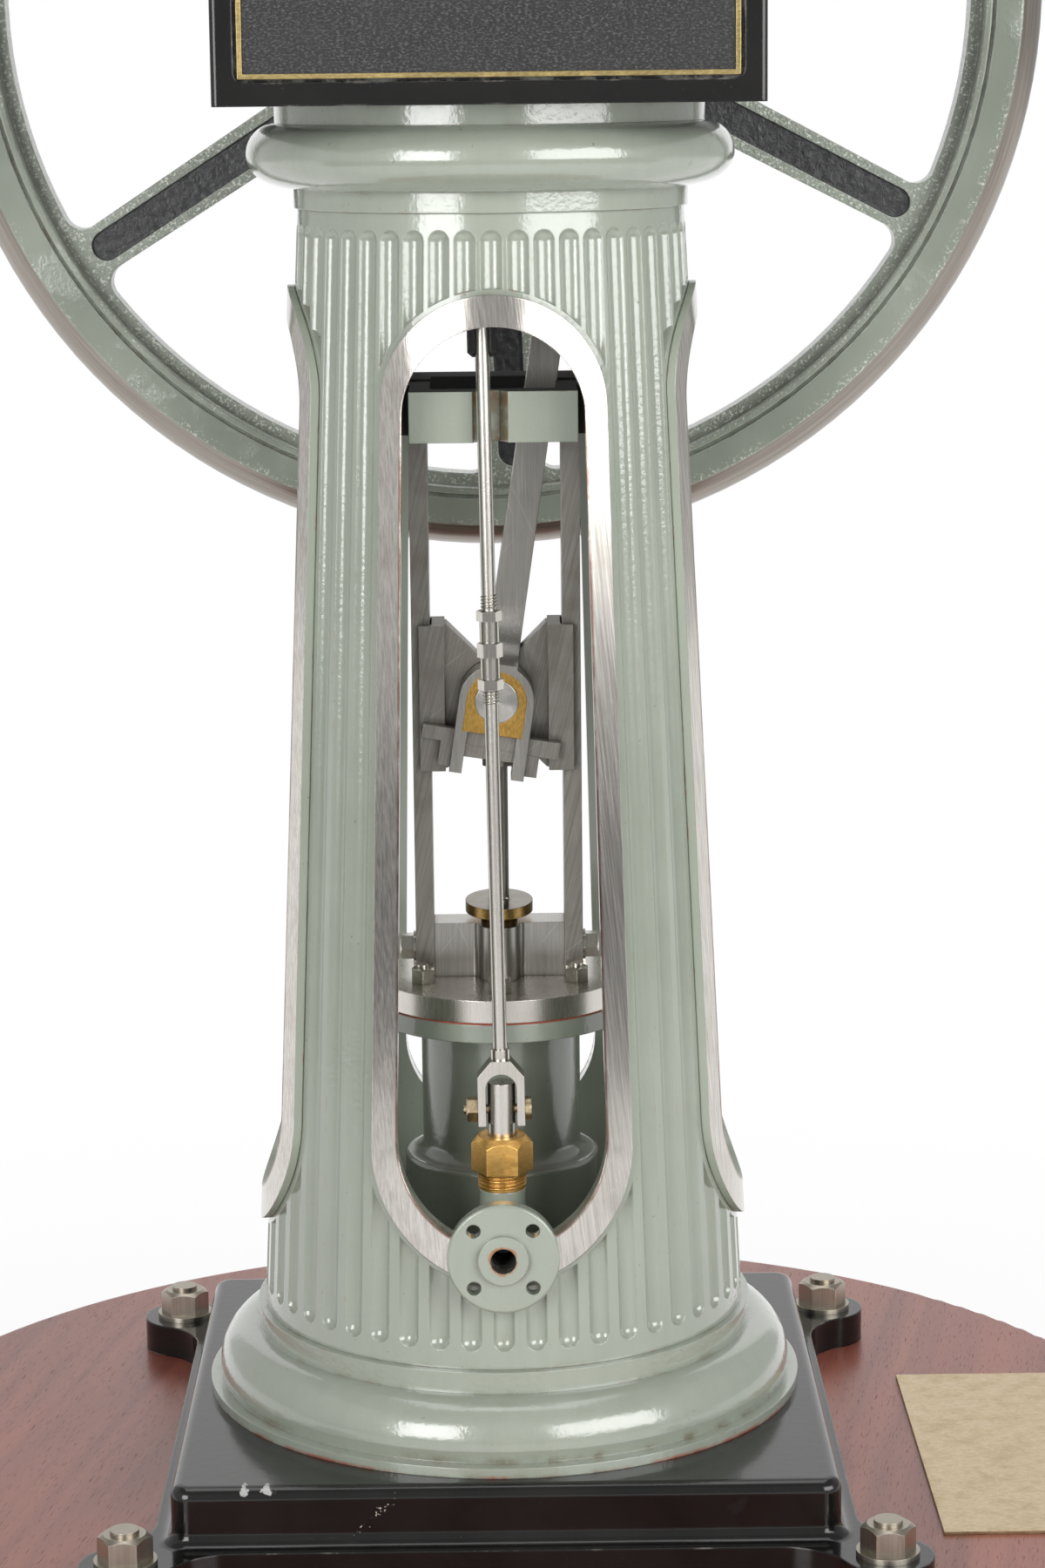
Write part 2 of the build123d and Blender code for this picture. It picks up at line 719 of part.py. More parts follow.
# Steam inlet: a pipe from the drum to a bolted flange outside the window, and the valve's neck
inlet_axis_z = plate_top + inlet_z
flange_back_y = shaft_radius(inlet_axis_z) + surround_proud + inlet_flange_gap
drum_face_y = sqrt(drum_r ** 2 - inlet_pipe_r ** 2)
neck_z = plate_top + neck_top_z
with BuildPart() as steam_inlet:
    pipe_root_y = drum_face_y - overrun / 2
    add(round_bar(inlet_pipe_r, flange_back_y - pipe_root_y, plane_y(-pipe_root_y, inlet_axis_z)))
    add(round_bar(inlet_flange_r, inlet_flange_t, plane_y(-flange_back_y, inlet_axis_z)))
    fillet(steam_inlet.faces().sort_by(Axis.Y)[0].edges(), inlet_flange_edge)
    add(round_bar(inlet_boss_r, inlet_flange_t + inlet_boss_t, plane_y(-flange_back_y, inlet_axis_z)))
    with BuildSketch(Plane.XY.offset(inlet_axis_z)):
        with Locations((0, -valve_y)):
            Circle(inlet_pipe_r)
    extrude(amount=neck_top_z - inlet_z)
    flange_face = plane_y(-(flange_back_y + inlet_flange_t), inlet_axis_z)
    with BuildSketch(flange_face):
        with PolarLocations(inlet_bolt_pcd / 2, inlet_bolt_count, start_angle=quarter_turn / 2):
            Circle(inlet_bolt_r)
    extrude(amount=-inlet_flange_t, mode=Mode.SUBTRACT)
    with BuildSketch(flange_face.offset(inlet_boss_t)):
        Circle(inlet_bore_r)
    extrude(amount=-inlet_bore_depth, mode=Mode.SUBTRACT)
    with BuildSketch(Plane.XY.offset(neck_z)):
        with Locations((0, -valve_y)):
            Circle(spindle_r + running_fit)
    extrude(amount=-spindle_depth, mode=Mode.SUBTRACT)
    add(turned([(0, plate_top), (drum_r, plate_top), (drum_r, plate_top + drum_h), (0, plate_top + drum_h)]),
        mode=Mode.SUBTRACT)
finish(steam_inlet, "steam_inlet")

# The brass gland nut of the valve
valve_axis = Plane(origin=(0, -valve_y, 0))
with BuildPart() as valve_gland_nut:
    add(round_bar(gland_thread_r, gland_thread_h, valve_axis.offset(neck_z)))
    add(hex_nut(gland_hex_flats, gland_hex_h, gland_hex_ease, valve_axis.offset(neck_z + gland_thread_h)))
    add(round_bar(spindle_r + running_fit, gland_thread_h + gland_hex_h, valve_axis.offset(neck_z)),
        mode=Mode.SUBTRACT)
finish(valve_gland_nut, "valve_gland_nut")

rod_top_z = cross_z - cross_pin_r - rod_pin_gap

# The crosshead: a plate with V notches above and below, and a channel slipper on each guide bar
with BuildPart() as crosshead:
    top = cross_z + cross_half_h
    low = cross_z - cross_half_h
    notch_half = cross_v_half + cross_half_h - cross_mid_h
    with BuildSketch(plane_y(cross_half_t)):
        with BuildLine():
            Polyline((-slipper_in, low), (-slipper_in, top), (-notch_half, top),
                     (-cross_v_half, cross_z + cross_mid_h), (cross_v_half, cross_z + cross_mid_h),
                     (notch_half, top), (slipper_in, top), (slipper_in, low), (notch_half, low),
                     (cross_v_half, cross_z - cross_mid_h), (-cross_v_half, cross_z - cross_mid_h),
                     (-notch_half, low), close=True)
        make_face()
    extrude(amount=2 * cross_half_t)
    add(round_bar(cross_boss_r, cross_half_h - cross_mid_h, Plane.XY.offset(low)))
    slipper_face = bar_half_d + side_gap
    for side in (-1, 1):
        with BuildSketch(Plane.XY.offset(low)):
            with Locations((side * (slipper_in + slipper_out) / 2, 0)):
                Rectangle(slipper_out - slipper_in, 2 * (slipper_face + slipper_plate_t))
            with Locations((side * (bracket_half - side_gap + bar_w / 2), 0)):
                Rectangle(bar_w, 2 * slipper_face, mode=Mode.SUBTRACT)
        extrude(amount=2 * cross_half_h)
    add(round_bar(cross_pin_r, 2 * cross_half_t, plane_y(cross_half_t, cross_z)), mode=Mode.SUBTRACT)
    add(round_bar(piston_rod_r, rod_top_z - low, Plane.XY.offset(low)), mode=Mode.SUBTRACT)
finish(crosshead, "crosshead")

with BuildPart() as piston_rod:
    rod_foot = plate_top + piston_rod_low
    add(round_bar(piston_rod_r, rod_top_z - rod_foot, Plane.XY.offset(rod_foot)))
finish(piston_rod, "piston_rod")

with BuildPart() as crosshead_pin:
    add(round_bar(cross_pin_r, 2 * fork_out, plane_y(fork_out, cross_z)))
finish(crosshead_pin, "crosshead_pin")

# The connecting rod: a flat shank, a yoke over the crosshead plate and an inverted U on each end
# of the pin, with a slot through its legs for the gib and cotter
key_h = (cotter_h_small + cotter_h_large) / 2 + gib_h
yoke_low = strap_half - strap_band
yoke_root = sqrt(strap_half ** 2 - shank_half_low ** 2)
with BuildPart() as connecting_rod:
    with BuildSketch(plane_y(shank_half_t, cross_z, rod_lean)):
        with BuildLine():
            Polyline((-shank_half_low, yoke_h), (-shank_half_top, rod_length),
                     (shank_half_top, rod_length), (shank_half_low, yoke_h), close=True)
        make_face()
    extrude(amount=2 * shank_half_t)
    with BuildSketch(side_plane(cross_z, rod_lean)):
        with BuildLine():
            Line((shank_half_t, yoke_h), (-shank_half_t, yoke_h))
            TangentArc((-shank_half_t, yoke_h), (-fork_out, strap_half), tangent=(0, -1))
            Polyline((-fork_out, strap_half), (-fork_out, yoke_root), (fork_out, yoke_root),
                     (fork_out, strap_half))
            TangentArc((shank_half_t, yoke_h), (fork_out, strap_half), tangent=(0, -1))
        make_face()
    extrude(amount=shank_half_low, both=True)
    with BuildSketch(side_plane(cross_z, rod_lean)):
        with Locations((0, crotch_h / 2)):
            Rectangle(2 * fork_in, crotch_h)
    extrude(amount=strap_half, both=True, mode=Mode.SUBTRACT)
    for y in (-fork_in, fork_out):
        with BuildSketch(plane_y(y, cross_z, rod_lean)):
            Circle(strap_half)
            with Locations((0, -strap_low / 2)):
                Rectangle(2 * strap_half, strap_low)
            Circle(yoke_low, mode=Mode.SUBTRACT)
            with Locations((0, -brass_low / 2)):
                Rectangle(2 * yoke_low, brass_low, mode=Mode.SUBTRACT)
            with Locations((0, -strap_low / 2)):
                Rectangle(2 * (strap_half - strap_leg), strap_low, mode=Mode.SUBTRACT)
        extrude(amount=fork_out - fork_in)
    for y in (-key_in, key_in + key_t):
        with BuildSketch(plane_y(y, cross_z, rod_lean)):
            with Locations((0, -brass_low - key_h / 2)):
                Rectangle(2 * cotter_half, key_h)
        extrude(amount=key_t, mode=Mode.SUBTRACT)
    with BuildSketch(plane_y(big_end_w / 2, cross_z, rod_lean)):
        with Locations((0, rod_length)):
            Circle(big_end_r)
    extrude(amount=big_end_w)
    with BuildSketch(plane_y(big_end_w / 2, cross_z, rod_lean)):
        with Locations((0, rod_length)):
            Circle(pin_r)
    extrude(amount=big_end_w, mode=Mode.SUBTRACT)
finish(connecting_rod, "connecting_rod")

# The bronze brasses inside the two inverted Us
with BuildPart() as small_end_brasses:
    for y in (-fork_in, fork_out):
        with BuildSketch(plane_y(y, cross_z, rod_lean)):
            Circle(yoke_low)
            with Locations((0, -brass_low / 2)):
                Rectangle(2 * yoke_low, brass_low)
            Circle(cross_pin_r + running_fit, mode=Mode.SUBTRACT)
        extrude(amount=fork_out - fork_in)
finish(small_end_brasses, "small_end_brasses")

# The tapered cotters under the brasses, and the hooked gibs under the cotters
cotter_slope = (cotter_h_large - cotter_h_small) / (2 * cotter_half)
key_low = -brass_low - key_h


def cotter_foot(x):
    """Height of the cotter's sloping underside at x along the rod's cross direction."""
    return -brass_low - (cotter_h_small + cotter_h_large) / 2 - cotter_slope * x


with BuildPart() as cotters:
    for y in (-key_in, key_in + key_t):
        with BuildSketch(plane_y(y, cross_z, rod_lean)):
            with BuildLine():
                Polyline((-cotter_half, -brass_low), (cotter_half, -brass_low),
                         (cotter_half, cotter_foot(cotter_half)), (-cotter_half, cotter_foot(-cotter_half)),
                         close=True)
            make_face()
        extrude(amount=key_t)
finish(cotters, "cotters")

with BuildPart() as gibs:
    gib_half = strap_half + gib_hook_w
    for y in (-key_in, key_in + key_t):
        with BuildSketch(plane_y(y, cross_z, rod_lean)):
            with BuildLine():
                Polyline((-gib_half, cotter_foot(-gib_half)), (gib_half, cotter_foot(gib_half)),
                         (gib_half, key_low - gib_hook_drop), (strap_half, key_low - gib_hook_drop),
                         (strap_half, key_low), (-strap_half, key_low),
                         (-strap_half, key_low - gib_hook_drop), (-gib_half, key_low - gib_hook_drop),
                         close=True)
            make_face()
        extrude(amount=key_t)
finish(gibs, "gibs")

# The crank pin in the big end, its ends just clear of the two webs
pin_half = big_end_w / 2 + pin_end
with BuildPart() as crank_pin:
    with BuildSketch(plane_y(pin_half, cross_z, rod_lean)):
        with Locations((0, rod_length)):
            Circle(pin_r)
    extrude(amount=2 * pin_half)
finish(crank_pin, "crank_pin")

# The crank webs, and the two lengths of shaft that they join
web_in = pin_half + web_gap
with BuildPart() as crank_webs:
    for y in (-web_in, web_in + web_t):
        with BuildSketch(plane_y(y, crank_z, crank_angle)):
            with Locations((0, crank_r / 2)):
                SlotCenterToCenter(crank_r, 2 * web_half, rotation=quarter_turn)
            Circle(shaft_r, mode=Mode.SUBTRACT)
        extrude(amount=web_t)
finish(crank_webs, "crank_webs")

hub_back_y = wheel_y + hub_l / 2
with BuildPart() as crankshaft:
    add(round_bar(shaft_r, -front_wall_y - running_fit - web_in, plane_y(-web_in, crank_z)))
    add(round_bar(shaft_r, hub_back_y + bush_flange_t - web_in, plane_y(hub_back_y + bush_flange_t, crank_z)))
finish(crankshaft, "crankshaft")

# The flywheel: a crowned rim, six panelled spokes and a hub
rim_in_r = wheel_r - rim_depth
rim_face_r = wheel_r - rim_crown
bead_r = rim_in_r + rim_bead_in
groove_r = rim_in_r + rim_groove_in
crank_axis = Axis((0, 0, crank_z), (0, 1, 0))
wheel_plane = plane_y(wheel_y, crank_z, radians(-spoke_turn_deg))
with BuildPart() as flywheel:
    with BuildSketch(Plane(origin=(0, wheel_y, crank_z), x_dir=(0, 1, 0), z_dir=(1, 0, 0))):
        with BuildLine():
            half = rim_w / 2
            groove = half - rim_groove_depth
            bead = half - rim_bead_drop
            ThreePointArc((-half + rim_edge, rim_face_r), (0, wheel_r), (half - rim_edge, rim_face_r))
            front_edge = [(half - rim_edge, rim_face_r), (half, rim_face_r - rim_edge), (half, groove_r),
                          (groove, groove_r), (groove, groove_r - rim_groove_w),
                          (bead, groove_r - rim_groove_w - rim_bead_slope), (bead, bead_r + rim_bead_slope),
                          (groove, bead_r), (spoke_t / 2, bead_r), (spoke_t / 2, rim_in_r)]
            back_edge = [(-across, radius) for across, radius in reversed(front_edge)]
            Polyline(*front_edge, *back_edge)
        make_face()
    revolve(axis=crank_axis)
    with BuildSketch(wheel_plane.offset(-spoke_t / 2)) as spider:
        Circle(bead_r)
        Circle(rim_in_r, mode=Mode.SUBTRACT)
        Circle(hub_r)
        with PolarLocations(0, spoke_count, start_angle=-quarter_turn):
            Polygon((0, -spoke_half_in), (bead_r, -spoke_half_out), (bead_r, spoke_half_out),
                    (0, spoke_half_in), align=None)
        roots = spider.vertices().filter_by(
            lambda v: abs(sqrt(v.X ** 2 + v.Y ** 2) - rim_in_r) < rim_bead_in / 2)
        fillet(roots, spoke_root_r)
    extrude(amount=spoke_t)
    add(round_bar(hub_r, hub_l, wheel_plane.offset(-hub_l / 2)))
    panel_in = hub_r + spoke_panel_hub_gap
    panel_out = rim_in_r - spoke_panel_rim_gap
    for face_plane, depth in ((wheel_plane.offset(spoke_t / 2), -spoke_panel_depth),
                              (wheel_plane.offset(-spoke_t / 2), spoke_panel_depth)):
        with BuildSketch(face_plane):
            with PolarLocations((panel_in + panel_out) / 2, spoke_count, start_angle=-quarter_turn):
                SlotOverall(panel_out - panel_in, 2 * spoke_panel_half)
        extrude(amount=depth, mode=Mode.SUBTRACT)
    add(round_bar(shaft_r, hub_l, wheel_plane.offset(-hub_l / 2)), mode=Mode.SUBTRACT)
finish(flywheel, "flywheel")

# The valve spindle, cross-drilled for the fork's pin
with BuildPart() as valve_spindle:
    spindle_foot = neck_z - spindle_depth / 2
    add(round_bar(spindle_r, plate_top + spindle_top_z - spindle_foot, valve_axis.offset(spindle_foot)))
    cross_drill = Plane(origin=(-spindle_r - overrun, -valve_y, valve_pin_z), x_dir=(0, 1, 0),
                        z_dir=(1, 0, 0))
    add(round_bar(fork_pin_r + fork_pin_hole_gap, 2 * (spindle_r + overrun), cross_drill), mode=Mode.SUBTRACT)
finish(valve_spindle, "valve_spindle")

# The fork on the spindle, in the eccentric rod's own leaning frame, and its cross pin
fork_in_half = spindle_r + fork_gap
fork_half = fork_in_half + fork_arm_t


def valve_plane(y_from_rod):
    """The leaning plane of the valve rod, at a depth measured from its own axis."""
    return plane_y(-valve_y + y_from_rod, valve_pin_z, ecc_lean)


def valve_station(height):
    """A plane across the valve rod at a height along it from the fork's pin."""
    along = (sin(ecc_lean), 0, cos(ecc_lean))
    foot = (height * sin(ecc_lean), -valve_y, valve_pin_z + height * cos(ecc_lean))
    return Plane(origin=foot, x_dir=(cos(ecc_lean), 0, -sin(ecc_lean)), z_dir=along)


pin_plane = Plane(origin=(0, -valve_y, valve_pin_z), x_dir=(0, 1, 0),
                  z_dir=(cos(ecc_lean), 0, -sin(ecc_lean)))
with BuildPart() as valve_fork:
    with BuildSketch(valve_plane(fork_half_d)):
        with BuildLine():
            Polyline((-fork_half, -fork_low), (-fork_half, fork_shoulder), (-fork_neck_r, fork_neck_low),
                     (fork_neck_r, fork_neck_low), (fork_half, fork_shoulder), (fork_half, -fork_low),
                     close=True)
        make_face()
        with Locations((0, fork_crown - fork_in_half)):
            Circle(fork_in_half, mode=Mode.SUBTRACT)
        with Locations((0, (fork_crown - fork_in_half - fork_low) / 2)):
            Rectangle(2 * fork_in_half, fork_low + fork_crown - fork_in_half, mode=Mode.SUBTRACT)
    extrude(amount=2 * fork_half_d)
    add(round_bar(fork_neck_r, fork_neck_top - fork_neck_low, valve_station(fork_neck_low)))
    add(round_bar(fork_pin_r, 2 * fork_half, pin_plane.offset(-fork_half)), mode=Mode.SUBTRACT)
finish(valve_fork, "valve_fork")

with BuildPart() as fork_pin:
    pin_tail = fork_half + fork_nut_h + fork_pin_proud
    tail_plane = Plane(origin=pin_plane.offset(-fork_half).origin, x_dir=(0, 1, 0), z_dir=-pin_plane.z_dir)
    add(round_bar(fork_pin_r, fork_half + pin_tail, pin_plane.offset(-pin_tail)))
    add(hex_nut(fork_nut_flats, fork_nut_h, fork_nut_ease, tail_plane))
    add(round_bar(fork_head_r, fork_head_h, pin_plane.offset(fork_half)))
finish(fork_pin, "fork_pin")

ecc_rod_low = guide_head_z + head_h + ecc_rod_clear - valve_pin_z

# The valve rod and the adjuster on it: two lock nuts and a sleeve with a hexagon in the middle
with BuildPart() as valve_rod:
    add(round_bar(valve_rod_r, ecc_l - strap_ring_r - side_gap - fork_neck_top, valve_station(fork_neck_top)))
finish(valve_rod, "valve_rod")

with BuildPart() as rod_adjuster:
    adjuster_h = 2 * (adjuster_nut_h + adjuster_sleeve_h) + adjuster_hex_h
    nut_gap = adjuster_nut_h + adjuster_sleeve_h
    add(round_bar(adjuster_sleeve_r, adjuster_h, valve_station(adjuster_low)))
    add(hex_nut(adjuster_nut_flats, adjuster_nut_h, adjuster_nut_ease, valve_station(adjuster_low)))
    add(hex_nut(adjuster_nut_flats, adjuster_hex_h, adjuster_nut_ease, valve_station(adjuster_low + nut_gap)))
    add(hex_nut(adjuster_nut_flats, adjuster_nut_h, adjuster_nut_ease,
                valve_station(adjuster_low + adjuster_h - adjuster_nut_h)))
    add(round_bar(valve_rod_r, adjuster_h, valve_station(adjuster_low)), mode=Mode.SUBTRACT)
finish(rod_adjuster, "rod_adjuster")

# The eccentric: sheave, strap and the black rod that the valve rod lies in the front of
sheave_bore_r = shaft_r + ecc_throw * sqrt(2) + side_gap
with BuildPart() as eccentric_rod:
    with BuildSketch(valve_station(ecc_rod_low)):
        with Locations((0, ecc_rod_set)):
            Rectangle(2 * ecc_rod_half, 2 * ecc_rod_half)
    extrude(amount=ecc_l - strap_ring_r + ecc_rod_half - ecc_rod_low)
    chamfer(eccentric_rod.faces().sort_by(Axis.Z)[0].edges(), ecc_rod_chamfer)
    with BuildSketch(valve_plane(ecc_rod_set + ecc_rod_half)):
        with Locations((0, ecc_l)):
            Circle(strap_ring_r)
    extrude(amount=2 * ecc_rod_half, mode=Mode.SUBTRACT)
    add(round_bar(valve_rod_r + running_fit, ecc_l - ecc_rod_low, valve_station(ecc_rod_low)),
        mode=Mode.SUBTRACT)
finish(eccentric_rod, "eccentric_rod")

with BuildPart() as eccentric_strap:
    with BuildSketch(valve_plane(ecc_w / 2)):
        with Locations((0, ecc_l)):
            Circle(strap_ring_r)
            Rectangle(2 * ecc_ear_half, ecc_ear_h)
            Circle(sheave_r, mode=Mode.SUBTRACT)
    extrude(amount=ecc_w)
finish(eccentric_strap, "eccentric_strap")

with BuildPart() as eccentric_sheave:
    with BuildSketch(valve_plane(ecc_w / 2)):
        with Locations((0, ecc_l)):
            Circle(sheave_r)
            Circle(sheave_bore_r, mode=Mode.SUBTRACT)
    extrude(amount=ecc_w)
finish(eccentric_sheave, "eccentric_sheave")
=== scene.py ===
"""Looks for the column steam engine: materials, screw threads, studio, light and camera."""

from math import cos, pi, radians, sin

import bpy
from mathutils import Matrix, Vector


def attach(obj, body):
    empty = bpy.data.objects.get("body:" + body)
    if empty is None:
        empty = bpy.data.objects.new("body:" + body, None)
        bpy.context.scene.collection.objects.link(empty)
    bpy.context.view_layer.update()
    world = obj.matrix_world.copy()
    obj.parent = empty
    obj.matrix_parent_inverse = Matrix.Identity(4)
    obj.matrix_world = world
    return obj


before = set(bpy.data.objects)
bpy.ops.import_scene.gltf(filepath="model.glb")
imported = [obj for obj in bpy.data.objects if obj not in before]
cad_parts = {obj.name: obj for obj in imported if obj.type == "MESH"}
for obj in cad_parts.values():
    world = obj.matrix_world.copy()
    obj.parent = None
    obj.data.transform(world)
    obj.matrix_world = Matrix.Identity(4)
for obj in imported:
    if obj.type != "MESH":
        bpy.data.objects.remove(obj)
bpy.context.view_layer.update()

# Places shared with the CAD model, in metres
CRANK_Z = 0.3478
WHEEL_Y = 0.072
PLATE_TOP = 0.042
PLATE_FRONT_Y = -0.0660
VALVE_Y = -0.0315
INLET_Z = 0.087
INLET_FRONT_Y = -0.045
INLET_BORE_R = 0.00272
NECK_TOP = 0.0949
CROSS_PIN_Z = 0.19712
HEAD_BAR_BACK_Y = (-0.0235, -0.0220)
HEAD_SLOT_X = (-0.0056, 0.0030)
HEAD_SLOT_FRONT_Y = -0.0293
VALVE_PIN = Vector((0.0, VALVE_Y, 0.1123))
ROD_LEAN = radians(-0.75)
ADJUSTER_LOW = 0.0909
ADJUSTER_TOP = 0.1077

# The column's taper and its windows
SHAFT_FOOT_R = 0.0533
SHAFT_FOOT_Z = 0.0613
SHAFT_SLOPE = 0.05064
WINDOW_REACH = 0.0232
WINDOW_LOW = 0.1094
WINDOW_HIGH = 0.2607
WINDOW_LOW_R = 0.0220
WINDOW_HIGH_R = 0.0188

# The flywheel's bands, each as the two radii that its edge fades between
CAST_BAND_R = (0.1127, 0.1131)
INNER_BORDER_R = (0.1132, 0.1146)
OUTER_BORDER_R = (0.1190, 0.1212)
CROWN_R = (0.12165, 0.12175)
SPOKE_PANEL_DEPTH = 0.00345

# Marks on the bed plate's front: chips as middle x and z, half width and half height
CHIPS = ((-0.0544, 0.0413, 0.0008, 0.0008), (-0.0496, 0.0413, 0.0015, 0.0007))
SPATTER_X = -0.0266
SPATTER_Z = 0.0365

# Screw threads: root and crest radius, pitch
THREAD_SIDES = 28
THREAD_TURNS = 4
ROD_THREAD_R = (0.00140, 0.00172)
ROD_PITCH = 0.0007
GLAND_THREAD_R = (0.00480, 0.00525)
GLAND_PITCH = 0.00078
TURNING_PITCH = 0.00022

# The photograph's camera, worked out from the bed plate, the column and the flywheel
PHOTO_H = 1800
FOCAL_PX = 4345.0
CAMERA_AT = Vector((-0.0001, -0.8134, 0.3336))
CAMERA_YAW = radians(0.39)
CAMERA_PITCH = radians(10.91)
CAMERA_ROLL = radians(-0.616)
SENSOR = 36.0

# Paint
GREEN_DEEP = (0.238, 0.268, 0.216)
GREEN = (0.292, 0.324, 0.266)
GREEN_PALE = (0.322, 0.354, 0.294)
# Painted shade: a darker green for the flywheel's face
GREEN_PAINTED_SHADE = (0.165, 0.188, 0.148)
# Painted highlight: pale specks for glints on the flywheel's cast band and borders
GREEN_PAINTED_GLINT = (0.66, 0.69, 0.61)
# Painted highlight along the flywheel's edges
GREEN_EDGE_HIGHLIGHT = (0.62, 0.65, 0.57)
STAIN = (0.135, 0.096, 0.045)
PRIMER = (0.30, 0.060, 0.030)
RIM_PRIMER = (0.22, 0.095, 0.070)
# Painted shade for the inside of the guide head
HEAD_PAINTED_SHADE = (0.010, 0.010, 0.010)
OIL = (0.150, 0.085, 0.022)
RUST = ((0.17, 0.055, 0.014), (0.46, 0.20, 0.065))
# Painted shade inside the steam inlet's bore
BORE_PAINTED_SHADE = (0.020, 0.013, 0.010)
LEDGE_DUST = (0.40, 0.40, 0.36)
BLACK = ((0.0045, 0.0041, 0.0039), (0.0095, 0.0087, 0.0082))
BLACK_DUST = (0.30, 0.29, 0.27)
BLACK_EDGE = (0.40, 0.37, 0.34)
BLACK_CHIP = (0.55, 0.53, 0.50)
SPOKE_BLACK = ((0.003, 0.003, 0.004), (0.030, 0.031, 0.034))
BED_CHIP = (0.42, 0.42, 0.41)
BED_SPATTER = (0.38, 0.36, 0.30)
BOX_GRIME = (0.27, 0.28, 0.24)
PANEL_FIELD = ((0.003, 0.003, 0.004), (0.092, 0.092, 0.090))
PANEL_RUBBED = (0.022, 0.022, 0.021)

# Metal, wood and jointing
CROWN_STEEL = ((0.28, 0.248, 0.218), (0.39, 0.352, 0.316))
CROWN_TARNISH = (0.26, 0.215, 0.165)
STEEL_WORN = (0.33, 0.27, 0.19)
STEEL_SCRATCH = (0.74, 0.73, 0.71)
# Painted shade for the corners of steel parts
STEEL_PAINTED_SHADE = (0.07, 0.058, 0.045)
STEEL_EDGE = (0.72, 0.70, 0.67)
STEEL_TOP = (0.30, 0.265, 0.215)
PIN_STEEL = ((0.56, 0.545, 0.51), (0.74, 0.725, 0.69))
PIN_TARNISH = (0.36, 0.31, 0.24)
# Painted shade for the corners of brass parts
BRASS_TARNISH = (0.20, 0.115, 0.035)
BRASS_PAINTED_SHADE = (0.085, 0.050, 0.016)
GLAND_EDGE = ((0.36, 0.22, 0.075), (0.54, 0.35, 0.130))
GLAND_FILM = ((0.17, 0.15, 0.115), (0.36, 0.33, 0.28))
# Painted shade for the gland's corners
GLAND_PAINTED_SHADE = (0.060, 0.045, 0.028)
WOOD = ((0.168, 0.040, 0.025), (0.290, 0.082, 0.052))
WOOD_RIBBON = (0.350, 0.110, 0.070)
WOOD_PORE = (0.045, 0.013, 0.009)
WOOD_DUST = (0.42, 0.36, 0.33)
JOINTING = ((0.22, 0.045, 0.025), (0.42, 0.10, 0.06))


def rgba(value):
    """A colour with its alpha; anything else as it is."""
    return (*value, 1.0)[:4] if isinstance(value, tuple) else value


